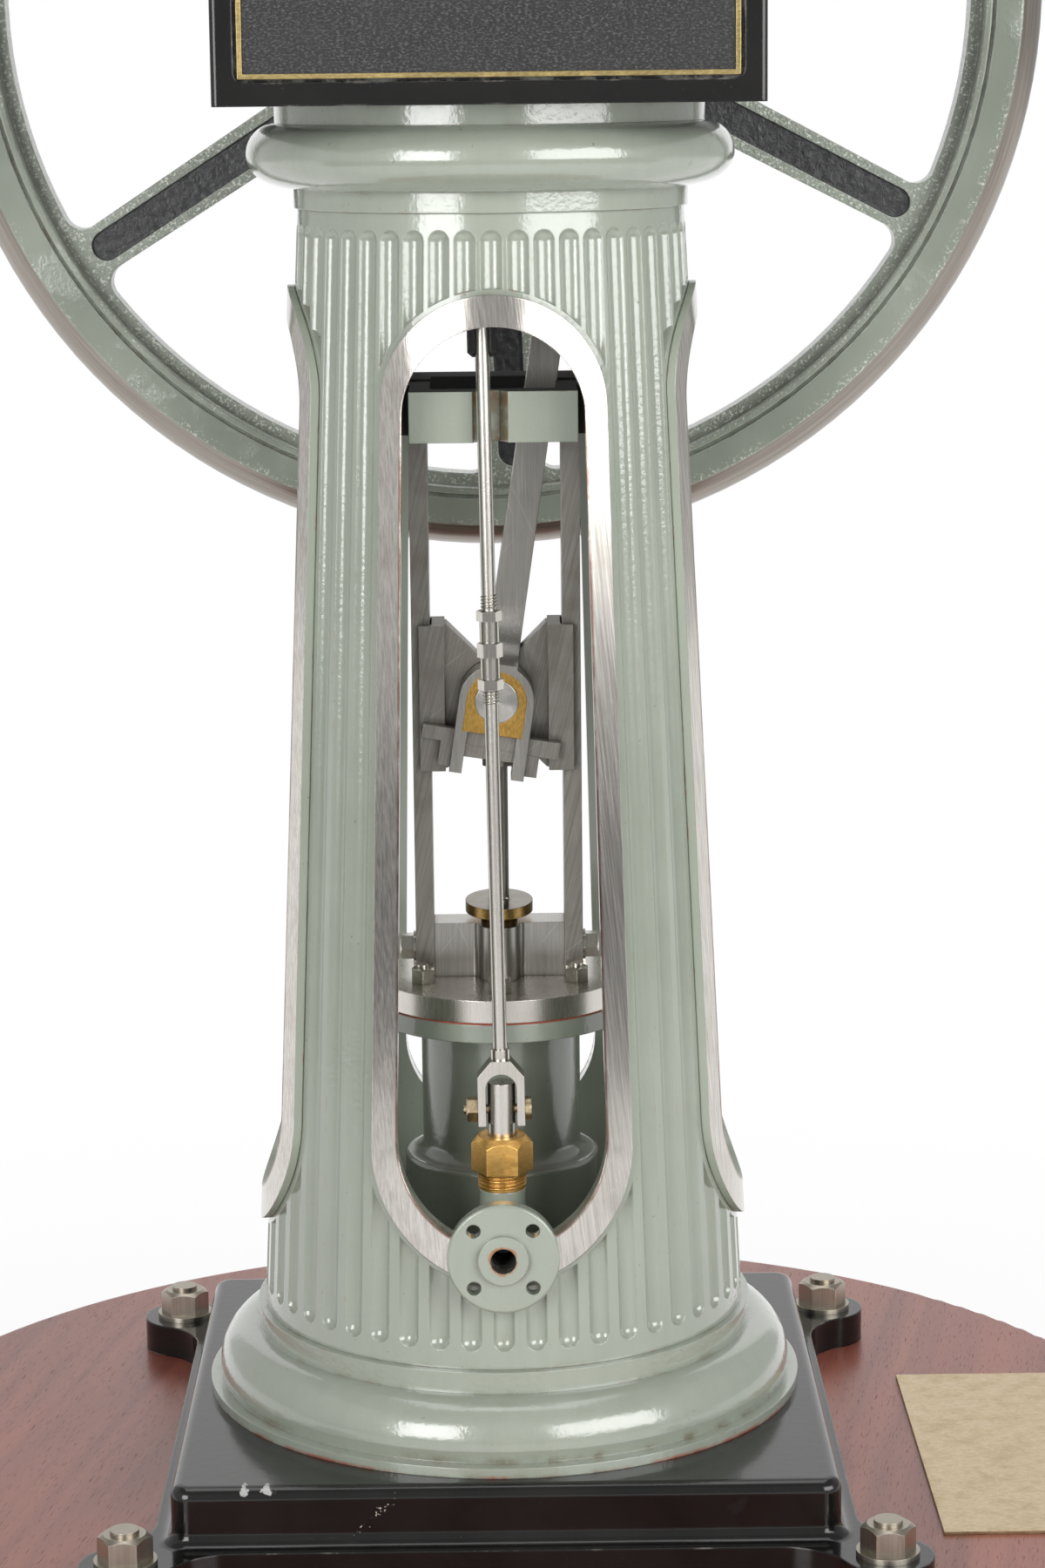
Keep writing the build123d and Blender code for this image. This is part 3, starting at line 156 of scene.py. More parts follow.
class Nodes:
    """A short way to write a material's node tree."""

    def __init__(self, name):
        self.mat = bpy.data.materials.new(name)
        self.mat.use_nodes = True
        self.tree = self.mat.node_tree
        self.bsdf = self.tree.nodes["Principled BSDF"]
        self.coords = self.tree.nodes.new("ShaderNodeTexCoord").outputs["Object"]

    def set(self, socket, value):
        """Link a socket to another, or give it a constant."""
        if isinstance(value, bpy.types.NodeSocket):
            self.tree.links.new(value, socket)
        else:
            socket.default_value = value

    def add(self, kind, inputs=(), **props):
        """A new node with its settings, and its inputs by name or number."""
        node = self.tree.nodes.new(kind)
        for key, value in props.items():
            setattr(node, key, value)
        for key, value in dict(inputs).items():
            self.set(node.inputs[key], value)
        return node

    def math(self, operation, a, b=0.0):
        return self.add("ShaderNodeMath", {0: a, 1: b}, operation=operation).outputs[0]

    def plus(self, a, b):
        return self.math("ADD", a, b)

    def minus(self, a, b):
        return self.math("SUBTRACT", a, b)

    def flip(self, value):
        """One less a value."""
        return self.minus(1.0, value)

    def times(self, first, *others):
        for other in others:
            first = self.math("MULTIPLY", first, other)
        return first

    def size(self, value):
        return self.math("ABSOLUTE", value)

    def less(self, value, limit):
        return self.math("LESS_THAN", value, limit)

    def more(self, value, limit):
        return self.math("GREATER_THAN", value, limit)

    def most(self, a, b):
        return self.math("MAXIMUM", a, b)

    def least(self, a, b):
        return self.math("MINIMUM", a, b)

    def within(self, value, limits):
        """One where a value lies between two limits."""
        return self.times(self.more(value, limits[0]), self.less(value, limits[1]))

    def reach(self, a, b):
        """The length of the hypotenuse over two sides."""
        return self.math("SQRT", self.plus(self.times(a, a), self.times(b, b)))

    def mapped(self, source=None, **settings):
        """Coordinates turned or stretched; the object's own if no others are given."""
        node = self.add("ShaderNodeMapping", {"Vector": source or self.coords})
        for key, value in settings.items():
            node.inputs[key].default_value = value
        return node.outputs["Vector"]

    def scaled(self, scale, source=None):
        return self.mapped(source, Scale=scale)

    def noise(self, scale, detail=4.0, rough=0.55, vector=None, distortion=0.0):
        node = self.add("ShaderNodeTexNoise", {
            "Vector": vector or self.coords, "Scale": scale, "Detail": detail,
            "Roughness": rough, "Distortion": distortion})
        return node.outputs["Fac"]

    def ramp(self, value, low, high):
        """Nought below low and one above high, smoothly between."""
        node = self.add("ShaderNodeMapRange", {"Value": value, "From Min": low, "From Max": high},
                        interpolation_type="SMOOTHSTEP")
        return node.outputs["Result"]

    def wear(self, scale, low, high):
        """Ragged patches of wear."""
        return self.ramp(self.noise(scale, detail=6.0, rough=0.65), low, high)

    def mix(self, fac, a, b):
        node = self.add("ShaderNodeMix", {"Factor": fac}, data_type="RGBA")
        self.set(node.inputs[6], rgba(a))
        self.set(node.inputs[7], rgba(b))
        return node.outputs[2]

    def lay(self, colour, other, mask, share=1.0):
        """Another colour laid over one where a mask says, by a share."""
        return self.mix(mask if share == 1.0 else self.times(mask, share), colour, other)

    def mixf(self, fac, a, b):
        node = self.add("ShaderNodeMix", {"Factor": fac, 2: a, 3: b})
        return node.outputs[0]

    def xyz(self, source=None):
        return self.add("ShaderNodeSeparateXYZ", {0: source or self.coords}).outputs

    def axis_radius(self, middle_z):
        """The distance from a front-to-back axis at a height."""
        x, _, z = self.xyz()
        return self.reach(x, self.minus(z, middle_z))

    def facing(self):
        """The surface's own normal in the object's frame, as x, y and z."""
        return self.xyz(self.add("ShaderNodeTexCoord").outputs["Normal"])

    def outward(self):
        """How squarely a face looks away from the column's axis, and its radius from there."""
        x, y, _ = self.xyz()
        nx, ny, _ = self.facing()
        radius = self.reach(x, y)
        away = self.plus(self.times(nx, x), self.times(ny, y))
        return self.math("DIVIDE", away, radius), radius

    def hollow(self, distance, low, high):
        """One in corners and under mouldings, nought on open faces."""
        node = self.add("ShaderNodeAmbientOcclusion", {"Distance": distance}, samples=6)
        return self.flip(self.ramp(node.outputs["AO"], low, high))

    def soft_edges(self, radius, samples=6):
        """Normals that round sharp CAD edges by a small radius, so that they catch the light."""
        return self.add("ShaderNodeBevel", {"Radius": radius}, samples=samples).outputs[0]

    def edge(self, radius, low, high):
        """One along sharp edges, from the difference between a rounded and a true normal."""
        rounded = self.soft_edges(radius, samples=4)
        true = self.add("ShaderNodeNewGeometry").outputs["Normal"]
        dot = self.add("ShaderNodeVectorMath", {0: rounded, 1: true}, operation="DOT_PRODUCT")
        return self.flip(self.ramp(dot.outputs["Value"], low, high))

    def bump(self, height, strength, distance, normal=None):
        inputs = {"Height": height, "Strength": strength, "Distance": distance}
        if normal:
            inputs["Normal"] = normal
        return self.add("ShaderNodeBump", inputs).outputs["Normal"]

    def shader(self, **inputs):
        """The material, with inputs of its main shader; spaces in their names are underscores."""
        for key, value in inputs.items():
            self.set(self.bsdf.inputs[key.replace("_", " ")], rgba(value))
        return self.mat

    def surface(self, source):
        """The material, with another shader in place of the main one."""
        self.set(self.tree.nodes["Material Output"].inputs["Surface"], source)
        return self.mat


# Green paint

def green_colour(n):
    """Hand-painted grey green: soft patches, specks, brown dirt in corners, primer on edges."""
    patches = n.ramp(n.noise(26.0, detail=5.0, rough=0.6), 0.3, 0.7)
    brushing = n.noise(1.0, detail=5.0, rough=0.6, vector=n.scaled((220.0, 220.0, 14.0)))
    colour = n.mix(patches, GREEN, GREEN_PALE)
    colour = n.lay(colour, GREEN_DEEP, n.ramp(brushing, 0.35, 0.75), 0.2)
    specks = n.ramp(n.noise(950.0, detail=2.0, rough=0.5), 0.735, 0.77)
    colour = n.lay(colour, STAIN, specks, 0.55)
    dirt = n.times(n.hollow(0.003, 0.40, 0.85), n.wear(170.0, 0.46, 0.68))
    colour = n.lay(colour, STAIN, dirt, 0.7)
    spots = n.times(n.wear(240.0, 0.66, 0.74), n.ramp(n.noise(38.0), 0.52, 0.66))
    colour = n.lay(colour, STAIN, spots, 0.45)
    edge = n.times(n.edge(0.0006, 0.78, 0.93), n.wear(190.0, 0.56, 0.66))
    return n.lay(colour, PRIMER, edge, 0.7), dirt, patches


def green_paint(name, marks=None):
    """The engine's gloss paint; marks may lay stains or painted shade over it, and say where they
    are matt.
    """
    n = Nodes(name)
    colour, dirt, patches = green_colour(n)
    shine = 1.0
    rough = n.plus(n.mixf(patches, 0.18, 0.26), n.times(dirt, 0.2))
    if marks:
        colour, matt = marks(n, colour)
        if matt:
            rough = n.plus(rough, n.times(matt, 0.5))
            shine = n.flip(matt)
    peel = n.noise(900.0, detail=3.0, rough=0.5)
    runs = n.noise(1.0, detail=3.0, rough=0.5, vector=n.scaled((420.0, 420.0, 30.0)))
    normal = n.bump(runs, 0.08, 0.0004, n.bump(peel, 0.24, 0.0002, n.soft_edges(0.0004)))
    return n.shader(Base_Color=colour, Roughness=rough, Normal=normal, Coat_Normal=normal,
                    Specular_IOR_Level=0.7, Coat_Weight=shine, Coat_Roughness=0.06)


def window_reach(n):
    """The distance from the nearest window's centre line, round its ends too."""
    x, y, z = n.xyz()
    aside = n.least(n.size(x), n.size(y))
    over = n.most(n.minus(z, WINDOW_HIGH), n.minus(WINDOW_LOW, z))
    return n.reach(aside, n.most(over, 0.0))


def window_rim(n):
    """One along a surround's inner edge below its arch, where primer shows under the metal."""
    z = n.xyz()[2]
    level = n.least(n.most(z, WINDOW_LOW), WINDOW_HIGH)
    share = n.math("DIVIDE", n.minus(level, WINDOW_LOW), WINDOW_HIGH - WINDOW_LOW)
    half_width = n.mixf(share, WINDOW_LOW_R, WINDOW_HIGH_R)
    line = n.flip(n.ramp(n.minus(window_reach(n), half_width), 0.0002, 0.0007))
    below_arch = n.flip(n.ramp(z, WINDOW_HIGH - 0.01, WINDOW_HIGH + 0.012))
    return n.times(line, below_arch, n.mixf(n.wear(70.0, 0.38, 0.58), 0.35, 0.9))


def shaft_marks(n, colour):
    """A thin line of red primer along the windows' edges, under the bright surrounds."""
    out, radius = n.outward()
    surface_r = n.minus(SHAFT_FOOT_R, n.times(n.minus(n.xyz()[2], SHAFT_FOOT_Z), SHAFT_SLOPE))
    wall = n.times(n.less(n.size(out), 0.445), n.less(window_reach(n), WINDOW_REACH))
    line = n.times(wall, n.less(n.minus(surface_r, radius), 0.0007), n.wear(75.0, 0.36, 0.52))
    return n.lay(colour, PRIMER, line, 0.9), None


def foot_marks(n, colour):
    """Red primer showing along the rubbed lower edge of the column's base."""
    line = n.flip(n.ramp(n.xyz()[2], PLATE_TOP + 0.0003, PLATE_TOP + 0.0009))
    return n.lay(colour, PRIMER, n.times(line, n.wear(60.0, 0.40, 0.60)), 0.8), None


def head_marks(n, colour):
    """Painted shade in black behind the front bar and on faces that look up, and oil run brown in
    the valve rod's slot.
    """
    x, y, _ = n.xyz()
    behind = n.most(n.ramp(y, *HEAD_BAR_BACK_Y), n.ramp(n.facing()[2], 0.6, 0.8))
    # Painted shade: black behind the front bar and on upward faces, where the column's inside lies
    # in shade
    colour = n.lay(colour, HEAD_PAINTED_SHADE, behind)
    slot = n.times(n.within(x, HEAD_SLOT_X), n.more(y, HEAD_SLOT_FRONT_Y), n.flip(behind))
    return n.lay(colour, OIL, n.times(slot, n.wear(160.0, 0.30, 0.62)), 0.85), behind


def inlet_marks(n, colour):
    """Rust and bare copper colour round the bore of the steam inlet, and painted shade inside the
    bore.
    """
    radius = n.axis_radius(INLET_Z)
    wander = n.times(n.minus(n.noise(380.0, detail=5.0, rough=0.65), 0.5), 0.0022)
    near = n.flip(n.ramp(n.plus(radius, wander), 0.0027, 0.0033))
    ring = n.times(near, n.less(n.xyz()[1], INLET_FRONT_Y))
    rust = n.mix(n.noise(900.0, rough=0.6), *RUST)
    # Painted shade: near black inside the bore
    rust = n.lay(rust, BORE_PAINTED_SHADE, n.less(radius, INLET_BORE_R))
    return n.lay(colour, rust, ring, 0.92), ring


def ledge_dust(n, colour):
    """Grey dust on the cylinder's ledges."""
    ledge = n.ramp(n.facing()[2], 0.5, 0.8)
    cover = n.mixf(n.noise(320.0, detail=5.0, rough=0.65), 0.2, 0.9)
    return n.lay(colour, LEDGE_DUST, n.times(ledge, cover)), None


def wheel_paint():
    """The flywheel: polished crown, green face, rough cast inner band and black spoke panels."""
    n = Nodes("flywheel_paint")
    colour, _, patches = green_colour(n)
    radius = n.axis_radius(CRANK_Z)
    depth = n.size(n.minus(n.xyz()[1], WHEEL_Y))
    cast = n.flip(n.ramp(radius, *CAST_BAND_R))
    panel = n.times(n.less(depth, SPOKE_PANEL_DEPTH), n.more(n.size(n.facing()[1]), 0.6))
    polished = n.ramp(radius, *CROWN_R)

    # Painted shade: the wheel's green pulled towards a darker green in soft patches, for the shade
    # on its dished face
    shade = n.ramp(n.noise(18.0, detail=3.0, rough=0.5), 0.35, 0.65)
    colour = n.mix(shade, colour, n.mix(0.75, colour, GREEN_PAINTED_SHADE))
    border = n.most(n.ramp(radius, *OUTER_BORDER_R), n.flip(n.ramp(radius, *INNER_BORDER_R)))
    rubbed = n.times(border, n.ramp(n.noise(70.0, rough=0.6), 0.40, 0.58))
    # Painted highlight: pale specks standing in for glints of light on the cast band and the rubbed
    # borders
    painted_glints = n.ramp(n.noise(1700.0, detail=2.0, rough=0.5), 0.55, 0.66)
    colour = n.lay(colour, GREEN_PAINTED_GLINT, n.times(painted_glints, n.most(cast, rubbed)), 0.75)
    # Painted highlight: the wheel's sharp edges lightened in ragged stretches, for light caught
    # along them
    rim = n.times(n.edge(0.0007, 0.78, 0.95), n.wear(300.0, 0.36, 0.56))
    colour = n.lay(colour, GREEN_EDGE_HIGHLIGHT, rim, 0.6)
    black = n.mix(n.ramp(n.noise(420.0, rough=0.6), 0.35, 0.7), *SPOKE_BLACK)
    colour = n.lay(colour, black, panel)
    turning = n.noise(1.0, detail=3.0, rough=0.6, vector=n.scaled((30.0, 2600.0, 30.0)))
    crown = n.mix(n.ramp(turning, 0.3, 0.7), *CROWN_STEEL)
    crown = n.lay(crown, CROWN_TARNISH, n.wear(60.0, 0.5, 0.75), 0.35)
    colour = n.lay(colour, crown, polished)

    rough = n.mixf(cast, n.mixf(patches, 0.20, 0.28), 0.36)
    rough = n.mixf(panel, rough, 0.48)
    rough = n.mixf(polished, rough, n.mixf(turning, 0.24, 0.36))
    brushed = n.ramp(n.noise(60.0, detail=3.0, rough=0.5), 0.50, 0.62)
    coarse = n.times(n.most(cast, n.times(brushed, 0.55)), n.flip(n.most(polished, panel)))
    grain = n.noise(1250.0, rough=0.6)
    wrinkle = n.noise(620.0, detail=5.0, rough=0.65, distortion=0.6)
    texture = n.plus(n.times(grain, coarse), n.times(wrinkle, panel))
    normal = n.bump(texture, 0.6, 0.0006, n.soft_edges(0.0007))
    normal = n.bump(n.times(turning, polished), 0.12, 0.0002, normal)
    coat = n.times(n.flip(polished), n.mixf(panel, 0.9, 0.5))
    return n.shader(Base_Color=colour, Metallic=polished, Roughness=rough, Normal=normal,
                    Coat_Normal=normal, Coat_Weight=coat, Coat_Roughness=0.12)


# Black paint

def bed_chips(n, colour):
    """Two chips on the bed plate's front edge and a spatter of specks beside them."""
    x, y, z = n.xyz()
    ragged = n.times(n.minus(n.noise(900.0, detail=5.0, rough=0.7), 0.5), 4.2)
    front = n.less(y, PLATE_FRONT_Y)
    for middle_x, middle_z, half_x, half_z in CHIPS:
        across = n.math("DIVIDE", n.minus(x, middle_x), half_x)
        up = n.math("DIVIDE", n.minus(z, middle_z), half_z)
        far = n.reach(across, up)
        chip = n.times(n.flip(n.ramp(n.plus(far, ragged), 0.75, 0.95)), n.less(far, 1.25))
        colour = n.lay(colour, BED_CHIP, n.times(chip, front))
    rise = n.minus(z, SPATTER_Z)
    slant = n.minus(n.minus(x, SPATTER_X), rise)
    far = n.reach(slant, n.times(rise, 0.45))
    specks = n.minus(n.noise(1500.0, detail=2.0, rough=0.5), n.times(far, 75.0))
    return n.lay(colour, BED_SPATTER, n.times(n.ramp(specks, 0.53, 0.57), front))


def box_grime(n, colour):
    """Grey-green residue in the corners of the crank box's sunk panels."""
    grime = n.times(n.hollow(0.0022, 0.30, 0.80), n.wear(210.0, 0.44, 0.62))
    return n.lay(colour, BOX_GRIME, grime, 0.55)


def black_paint(name, marks=None):
    """Gloss black enamel with chips, fine scratches and dust."""
    n = Nodes(name)
    patches = n.noise(34.0, detail=5.0, rough=0.6)
    colour = n.mix(n.ramp(patches, 0.35, 0.7), *BLACK)
    dust = n.ramp(n.noise(1500.0, detail=3.0, rough=0.6), 0.70, 0.76)
    colour = n.lay(colour, BLACK_DUST, dust, 0.16)
    edge = n.times(n.edge(0.0007, 0.72, 0.94), n.wear(120.0, 0.54, 0.68))
    colour = n.lay(colour, BLACK_EDGE, edge, 0.75)
    chips = n.ramp(n.noise(210.0, detail=5.0, rough=0.7), 0.735, 0.75)
    colour = n.lay(colour, BLACK_CHIP, n.times(chips, n.ramp(n.noise(22.0), 0.56, 0.66)))
    if marks:
        colour = marks(n, colour)
    hairs = n.noise(1.0, detail=2.0, rough=0.5, distortion=1.2,
                    vector=n.scaled((60.0, 900.0, 60.0)))
    rough = n.plus(n.mixf(patches, 0.08, 0.16), n.times(n.ramp(hairs, 0.70, 0.74), 0.14))
    peel = n.noise(420.0, detail=3.0, rough=0.5)
    normal = n.bump(peel, 0.10, 0.0003, n.soft_edges(0.0006))
    return n.shader(Base_Color=colour, Roughness=rough, Normal=normal,
                    Coat_Weight=0.1, Coat_Roughness=0.06)


def panel_grey():
    """The name panel's bare field: dark, grainy and rubbed."""
    n = Nodes("panel_grey")
    grain = n.noise(1.0, detail=5.0, rough=0.7, vector=n.scaled((1400.0, 1400.0, 2600.0)))
    rubbed = n.ramp(n.noise(55.0, detail=5.0, rough=0.6), 0.4, 0.75)
    colour = n.mix(n.ramp(grain, 0.46, 0.70), *PANEL_FIELD)
    colour = n.lay(colour, PANEL_RUBBED, rubbed, 0.4)
    return n.shader(Base_Color=colour, Roughness=n.mixf(grain, 0.42, 0.6),
                    Normal=n.bump(grain, 0.4, 0.0002))


# Metals

def painted_flank(n):
    """One on the faces of a ring round the column that don't look outward."""
    return n.less(n.outward()[0], 0.75)


def upward(n):
    """One on faces that look up."""
    return n.ramp(n.facing()[2], 0.55, 0.8)


def steel(name, dark, light, rough, lean=0.0, worn=STEEL_WORN, worn_share=0.18, stretch=3600.0,
          bump=0.10, flank=None, rim=None, soft=0.00025, tops=None, scratch=1.0):
    """Worked steel: a fine grain up the piece, slanting scratches, soft tarnish and bright edges.

    The grain leans by lean degrees; flank, rim and tops mask green paint, primer and brown.
    """
    n = Nodes(name)

    def aslant(degrees, scale):
        return n.scaled(scale, n.mapped(Rotation=(0.0, radians(degrees), 0.0)))

    grain = n.noise(1.0, rough=0.65, vector=aslant(lean, (stretch, stretch, stretch / 50)))
    broad = n.noise(85.0)
    colour = n.mix(n.ramp(grain, 0.25, 0.75), dark, light)
    for degrees, share in ((lean + 24.0, 0.55), (lean - 38.0, 0.4)):
        lines = n.noise(1.0, detail=1.0, rough=0.5, vector=aslant(degrees, (2600.0, 2600.0, 34.0)))
        colour = n.lay(colour, STEEL_SCRATCH, n.ramp(lines, 0.70, 0.77), share * scratch)
    colour = n.lay(colour, worn, n.ramp(broad, 0.5, 0.72), worn_share)
    # Painted shade: dark brown in corners and between parts
    colour = n.lay(colour, STEEL_PAINTED_SHADE, n.hollow(0.002, 0.35, 0.9), 0.45)
    edge = n.times(n.edge(0.0003, 0.75, 0.94), n.mixf(n.wear(260.0, 0.42, 0.6), 0.25, 0.5))
    colour = n.lay(colour, STEEL_EDGE, edge)
    if rim:
        colour = n.lay(colour, RIM_PRIMER, rim(n))
    if tops:
        colour = n.lay(colour, STEEL_TOP, tops(n), n.mixf(broad, 0.5, 1.0))
    roughness = n.plus(n.mixf(grain, rough - 0.04, rough + 0.05), n.times(broad, 0.04))
    normal = n.bump(grain, bump, 0.0001, n.soft_edges(soft))
    metal = 1.0
    if flank:
        paint = flank(n)
        colour = n.lay(colour, green_colour(n)[0], paint)
        metal = n.flip(paint)
    return n.shader(Base_Color=colour, Metallic=metal, Roughness=roughness, Normal=normal)


def brass(name, deep, bright, rough, along="Z", tarnish=BRASS_TARNISH, share=0.45):
    """Yellow metal with turning marks along an axis, brown tarnish in patches, and painted shade in
    corners.
    """
    n = Nodes(name)
    marks = n.noise(1.0, detail=3.0, rough=0.6,
                    vector=n.scaled(tuple(2600.0 if axis == along else 900.0 for axis in "XYZ")))
    patches = n.wear(210.0, 0.42, 0.72)
    colour = n.mix(n.ramp(marks, 0.3, 0.7), deep, bright)
    colour = n.lay(colour, tarnish, patches, share)
    # Painted shade: dark brown in corners
    colour = n.lay(colour, BRASS_PAINTED_SHADE, n.hollow(0.002, 0.35, 0.9), 0.5)
    return n.shader(Base_Color=colour, Metallic=1.0, Roughness=n.mixf(patches, rough, rough + 0.18),
                    Normal=n.bump(marks, 0.14, 0.00015, n.soft_edges(0.00025)))


def oily_gland():
    """The oval gland: brass edge, and a top face gone grey with oil."""
    n = Nodes("oily_gland")
    marks = n.noise(1.0, detail=3.0, rough=0.6, vector=n.scaled((900.0, 900.0, 2600.0)))
    edge = n.mix(n.ramp(marks, 0.3, 0.7), *GLAND_EDGE)
    film = n.mix(n.noise(260.0, detail=5.0, rough=0.6), *GLAND_FILM)
    colour = n.lay(edge, film, n.ramp(n.facing()[2], 0.5, 0.7))
    # Painted shade: dark brown in corners
    colour = n.lay(colour, GLAND_PAINTED_SHADE, n.hollow(0.002, 0.35, 0.9), 0.7)
    return n.shader(Base_Color=colour, Metallic=1.0, Roughness=n.mixf(marks, 0.26, 0.40),
                    Normal=n.bump(marks, 0.14, 0.00015, n.soft_edges(0.0003)))


def turned_end():
    """The crosshead pin: bright, with the rings that a lathe leaves on its end."""
    n = Nodes("turned_pin")
    rings = n.math("SINE", n.times(n.axis_radius(CROSS_PIN_Z), 2 * pi / TURNING_PITCH))
    soft = n.noise(300.0, rough=0.6)
    colour = n.mix(n.ramp(rings, -1.0, 1.0), *PIN_STEEL)
    colour = n.lay(colour, PIN_TARNISH, n.ramp(soft, 0.5, 0.75), 0.25)
    return n.shader(Base_Color=colour, Metallic=1.0, Roughness=n.mixf(soft, 0.18, 0.30),
                    Normal=n.bump(rings, 0.30, 0.00002, n.soft_edges(0.0003)))


# Wood and jointing

def mahogany():
    """Varnished mahogany: long soft figure with short dark pores along the grain."""
    n = Nodes("mahogany")
    way = n.mapped(Rotation=(0.0, 0.0, radians(-78.0)))
    figure = n.noise(1.0, detail=5.0, rough=0.6, distortion=0.6,
                     vector=n.scaled((7.0, 60.0, 60.0), way))
    ribbon = n.noise(1.0, detail=3.0, rough=0.5, distortion=0.3,
                     vector=n.scaled((3.0, 150.0, 150.0), way))
    pores = n.noise(1.0, detail=2.0, rough=0.5, vector=n.scaled((240.0, 3900.0, 3900.0), way))
    pores = n.ramp(pores, 0.60, 0.70)
    colour = n.mix(n.ramp(figure, 0.3, 0.7), *WOOD)
    colour = n.lay(colour, WOOD_RIBBON, n.ramp(ribbon, 0.4, 0.7), 0.45)
    colour = n.lay(colour, WOOD_PORE, pores, 0.62)
    dust = n.ramp(n.noise(1300.0, detail=3.0, rough=0.6), 0.71, 0.77)
    colour = n.lay(colour, WOOD_DUST, dust, 0.18)
    rough = n.plus(n.mixf(figure, 0.26, 0.36), n.times(pores, 0.25))
    return n.shader(Base_Color=colour, Roughness=rough, Normal=n.bump(n.flip(pores), 0.22, 0.00025),
                    Coat_Weight=0.15, Coat_Roughness=0.18)


def jointing():
    """Red fibre jointing under the cylinder's cover."""
    n = Nodes("red_jointing")
    fibre = n.noise(900.0, rough=0.6)
    return n.shader(Base_Color=n.mix(fibre, *JOINTING), Roughness=n.mixf(fibre, 0.6, 0.8),
                    Normal=n.bump(fibre, 0.3, 0.0002))


MATERIALS = {
    "green": green_paint("green_paint"),
    "shaft": green_paint("shaft_paint", shaft_marks),
    "foot": green_paint("base_paint", foot_marks),
    "dusty": green_paint("cylinder_paint", ledge_dust),
    "head": green_paint("guide_head_paint", head_marks),
    "inlet": green_paint("inlet_paint", inlet_marks),
    "wheel": wheel_paint(),
    "black": black_paint("black_paint"),
    "bed": black_paint("bed_black", bed_chips),
    "box": black_paint("box_black", box_grime),
    "surround": steel("brushed_surround", (0.50, 0.472, 0.436), (0.76, 0.728, 0.68), 0.14,
                      lean=6.0, stretch=2400.0, flank=painted_flank, rim=window_rim,
                      soft=0.0004, scratch=1.3),
    "bright": steel("bright_steel", (0.67, 0.64, 0.595), (0.73, 0.70, 0.655), 0.25,
                    bump=0.02, scratch=0.15),
    "nickel": steel("nickel_steel", (0.62, 0.59, 0.54), (0.74, 0.71, 0.655), 0.19,
                    worn_share=0.15, bump=0.02, soft=0.0001, scratch=0.15),
    "nuts": steel("plated_nuts", (0.46, 0.42, 0.35), (0.60, 0.555, 0.475), 0.30,
                  worn_share=0.3, bump=0.03, soft=0.0001, tops=upward, scratch=0.3),
    "grey": steel("dark_steel", (0.29, 0.272, 0.246), (0.43, 0.408, 0.374), 0.35, lean=-14.0,
                  worn=(0.19, 0.168, 0.14), worn_share=0.4, stretch=2300.0, bump=0.2),
    "ground": steel("ground_steel", (0.40, 0.385, 0.355), (0.55, 0.53, 0.495), 0.29,
                    worn=(0.26, 0.235, 0.20)),
    "brass": brass("brass", (0.88, 0.48, 0.125), (1.0, 0.63, 0.205), 0.36, share=0.08),
    "pale_brass": brass("pale_brass", (0.60, 0.48, 0.29), (0.80, 0.67, 0.44), 0.28, "X",
                        share=0.2),
    "brasses": brass("golden_brass", (0.50, 0.29, 0.070), (0.70, 0.44, 0.125), 0.32, "X",
                     share=0.2),
    "gland": oily_gland(),
    "pin": turned_end(),
    "bronze": brass("bronze", (0.40, 0.245, 0.080), (0.58, 0.385, 0.150), 0.32, share=0.35),
    "tablet": brass("tablet_brass", (0.50, 0.385, 0.235), (0.62, 0.495, 0.325), 0.33, "Y",
                    tarnish=(0.42, 0.32, 0.185), share=0.22),
    "gilt": brass("gilt_border", (0.40, 0.30, 0.120), (0.60, 0.48, 0.225), 0.30, share=0.25),
    "wood": mahogany(),
    "panel": panel_grey(),
    "joint": jointing(),
}

NODE_MATERIAL = {
    "base_disc": "wood", "base_tablet": "tablet", "bed_plate": "bed", "hold_down_nuts": "nuts",
    "column_base": "foot", "column_shaft": "shaft", "column_capital": "green",
    "window_surround_front": "surround", "window_surround_right": "surround",
    "window_surround_back": "surround", "window_surround_left": "surround",
    "crank_box": "box", "name_panel": "panel", "name_panel_border": "gilt",
    "front_bearing": "bronze", "back_bearing": "bronze",
    "cylinder": "dusty", "cover_gasket": "joint", "cylinder_cover": "bright",
    "cover_nuts": "nickel", "guide_bracket": "ground", "gland": "gland", "gland_studs": "nickel",
    "guide_bar_left": "grey", "guide_bar_right": "grey", "guide_bar_bolts": "nickel",
    "guide_head": "head", "steam_inlet": "inlet", "valve_gland_nut": "brass",
    "crosshead": "grey", "piston_rod": "ground", "crosshead_pin": "pin",
    "connecting_rod": "ground", "small_end_brasses": "brasses", "cotters": "grey", "gibs": "grey",
    "crank_pin": "bright", "crank_webs": "ground", "crankshaft": "bright", "flywheel": "wheel",
    "valve_spindle": "bright", "valve_fork": "nickel", "fork_pin": "pale_brass",
    "valve_rod": "bright", "rod_adjuster": "nickel", "eccentric_rod": "black",
    "eccentric_strap": "black", "eccentric_sheave": "ground",
}

for node_name, key in NODE_MATERIAL.items():
    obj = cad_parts[node_name]
    obj = obj if isinstance(obj, bpy.types.Object) else bpy.data.objects[obj]
    obj.data.materials.clear()
    obj.data.materials.append(MATERIALS[key])


# Cut threads that show: the valve rod's ends in its adjuster, and the brass gland's in the neck

def new_object(name, corners, faces):
    """A mesh object in the scene."""
    mesh = bpy.data.meshes.new(name)
    mesh.from_pydata([tuple(corner) for corner in corners], [], faces)
    obj = bpy.data.objects.new(name, mesh)
    bpy.context.scene.collection.objects.link(obj)
    return obj


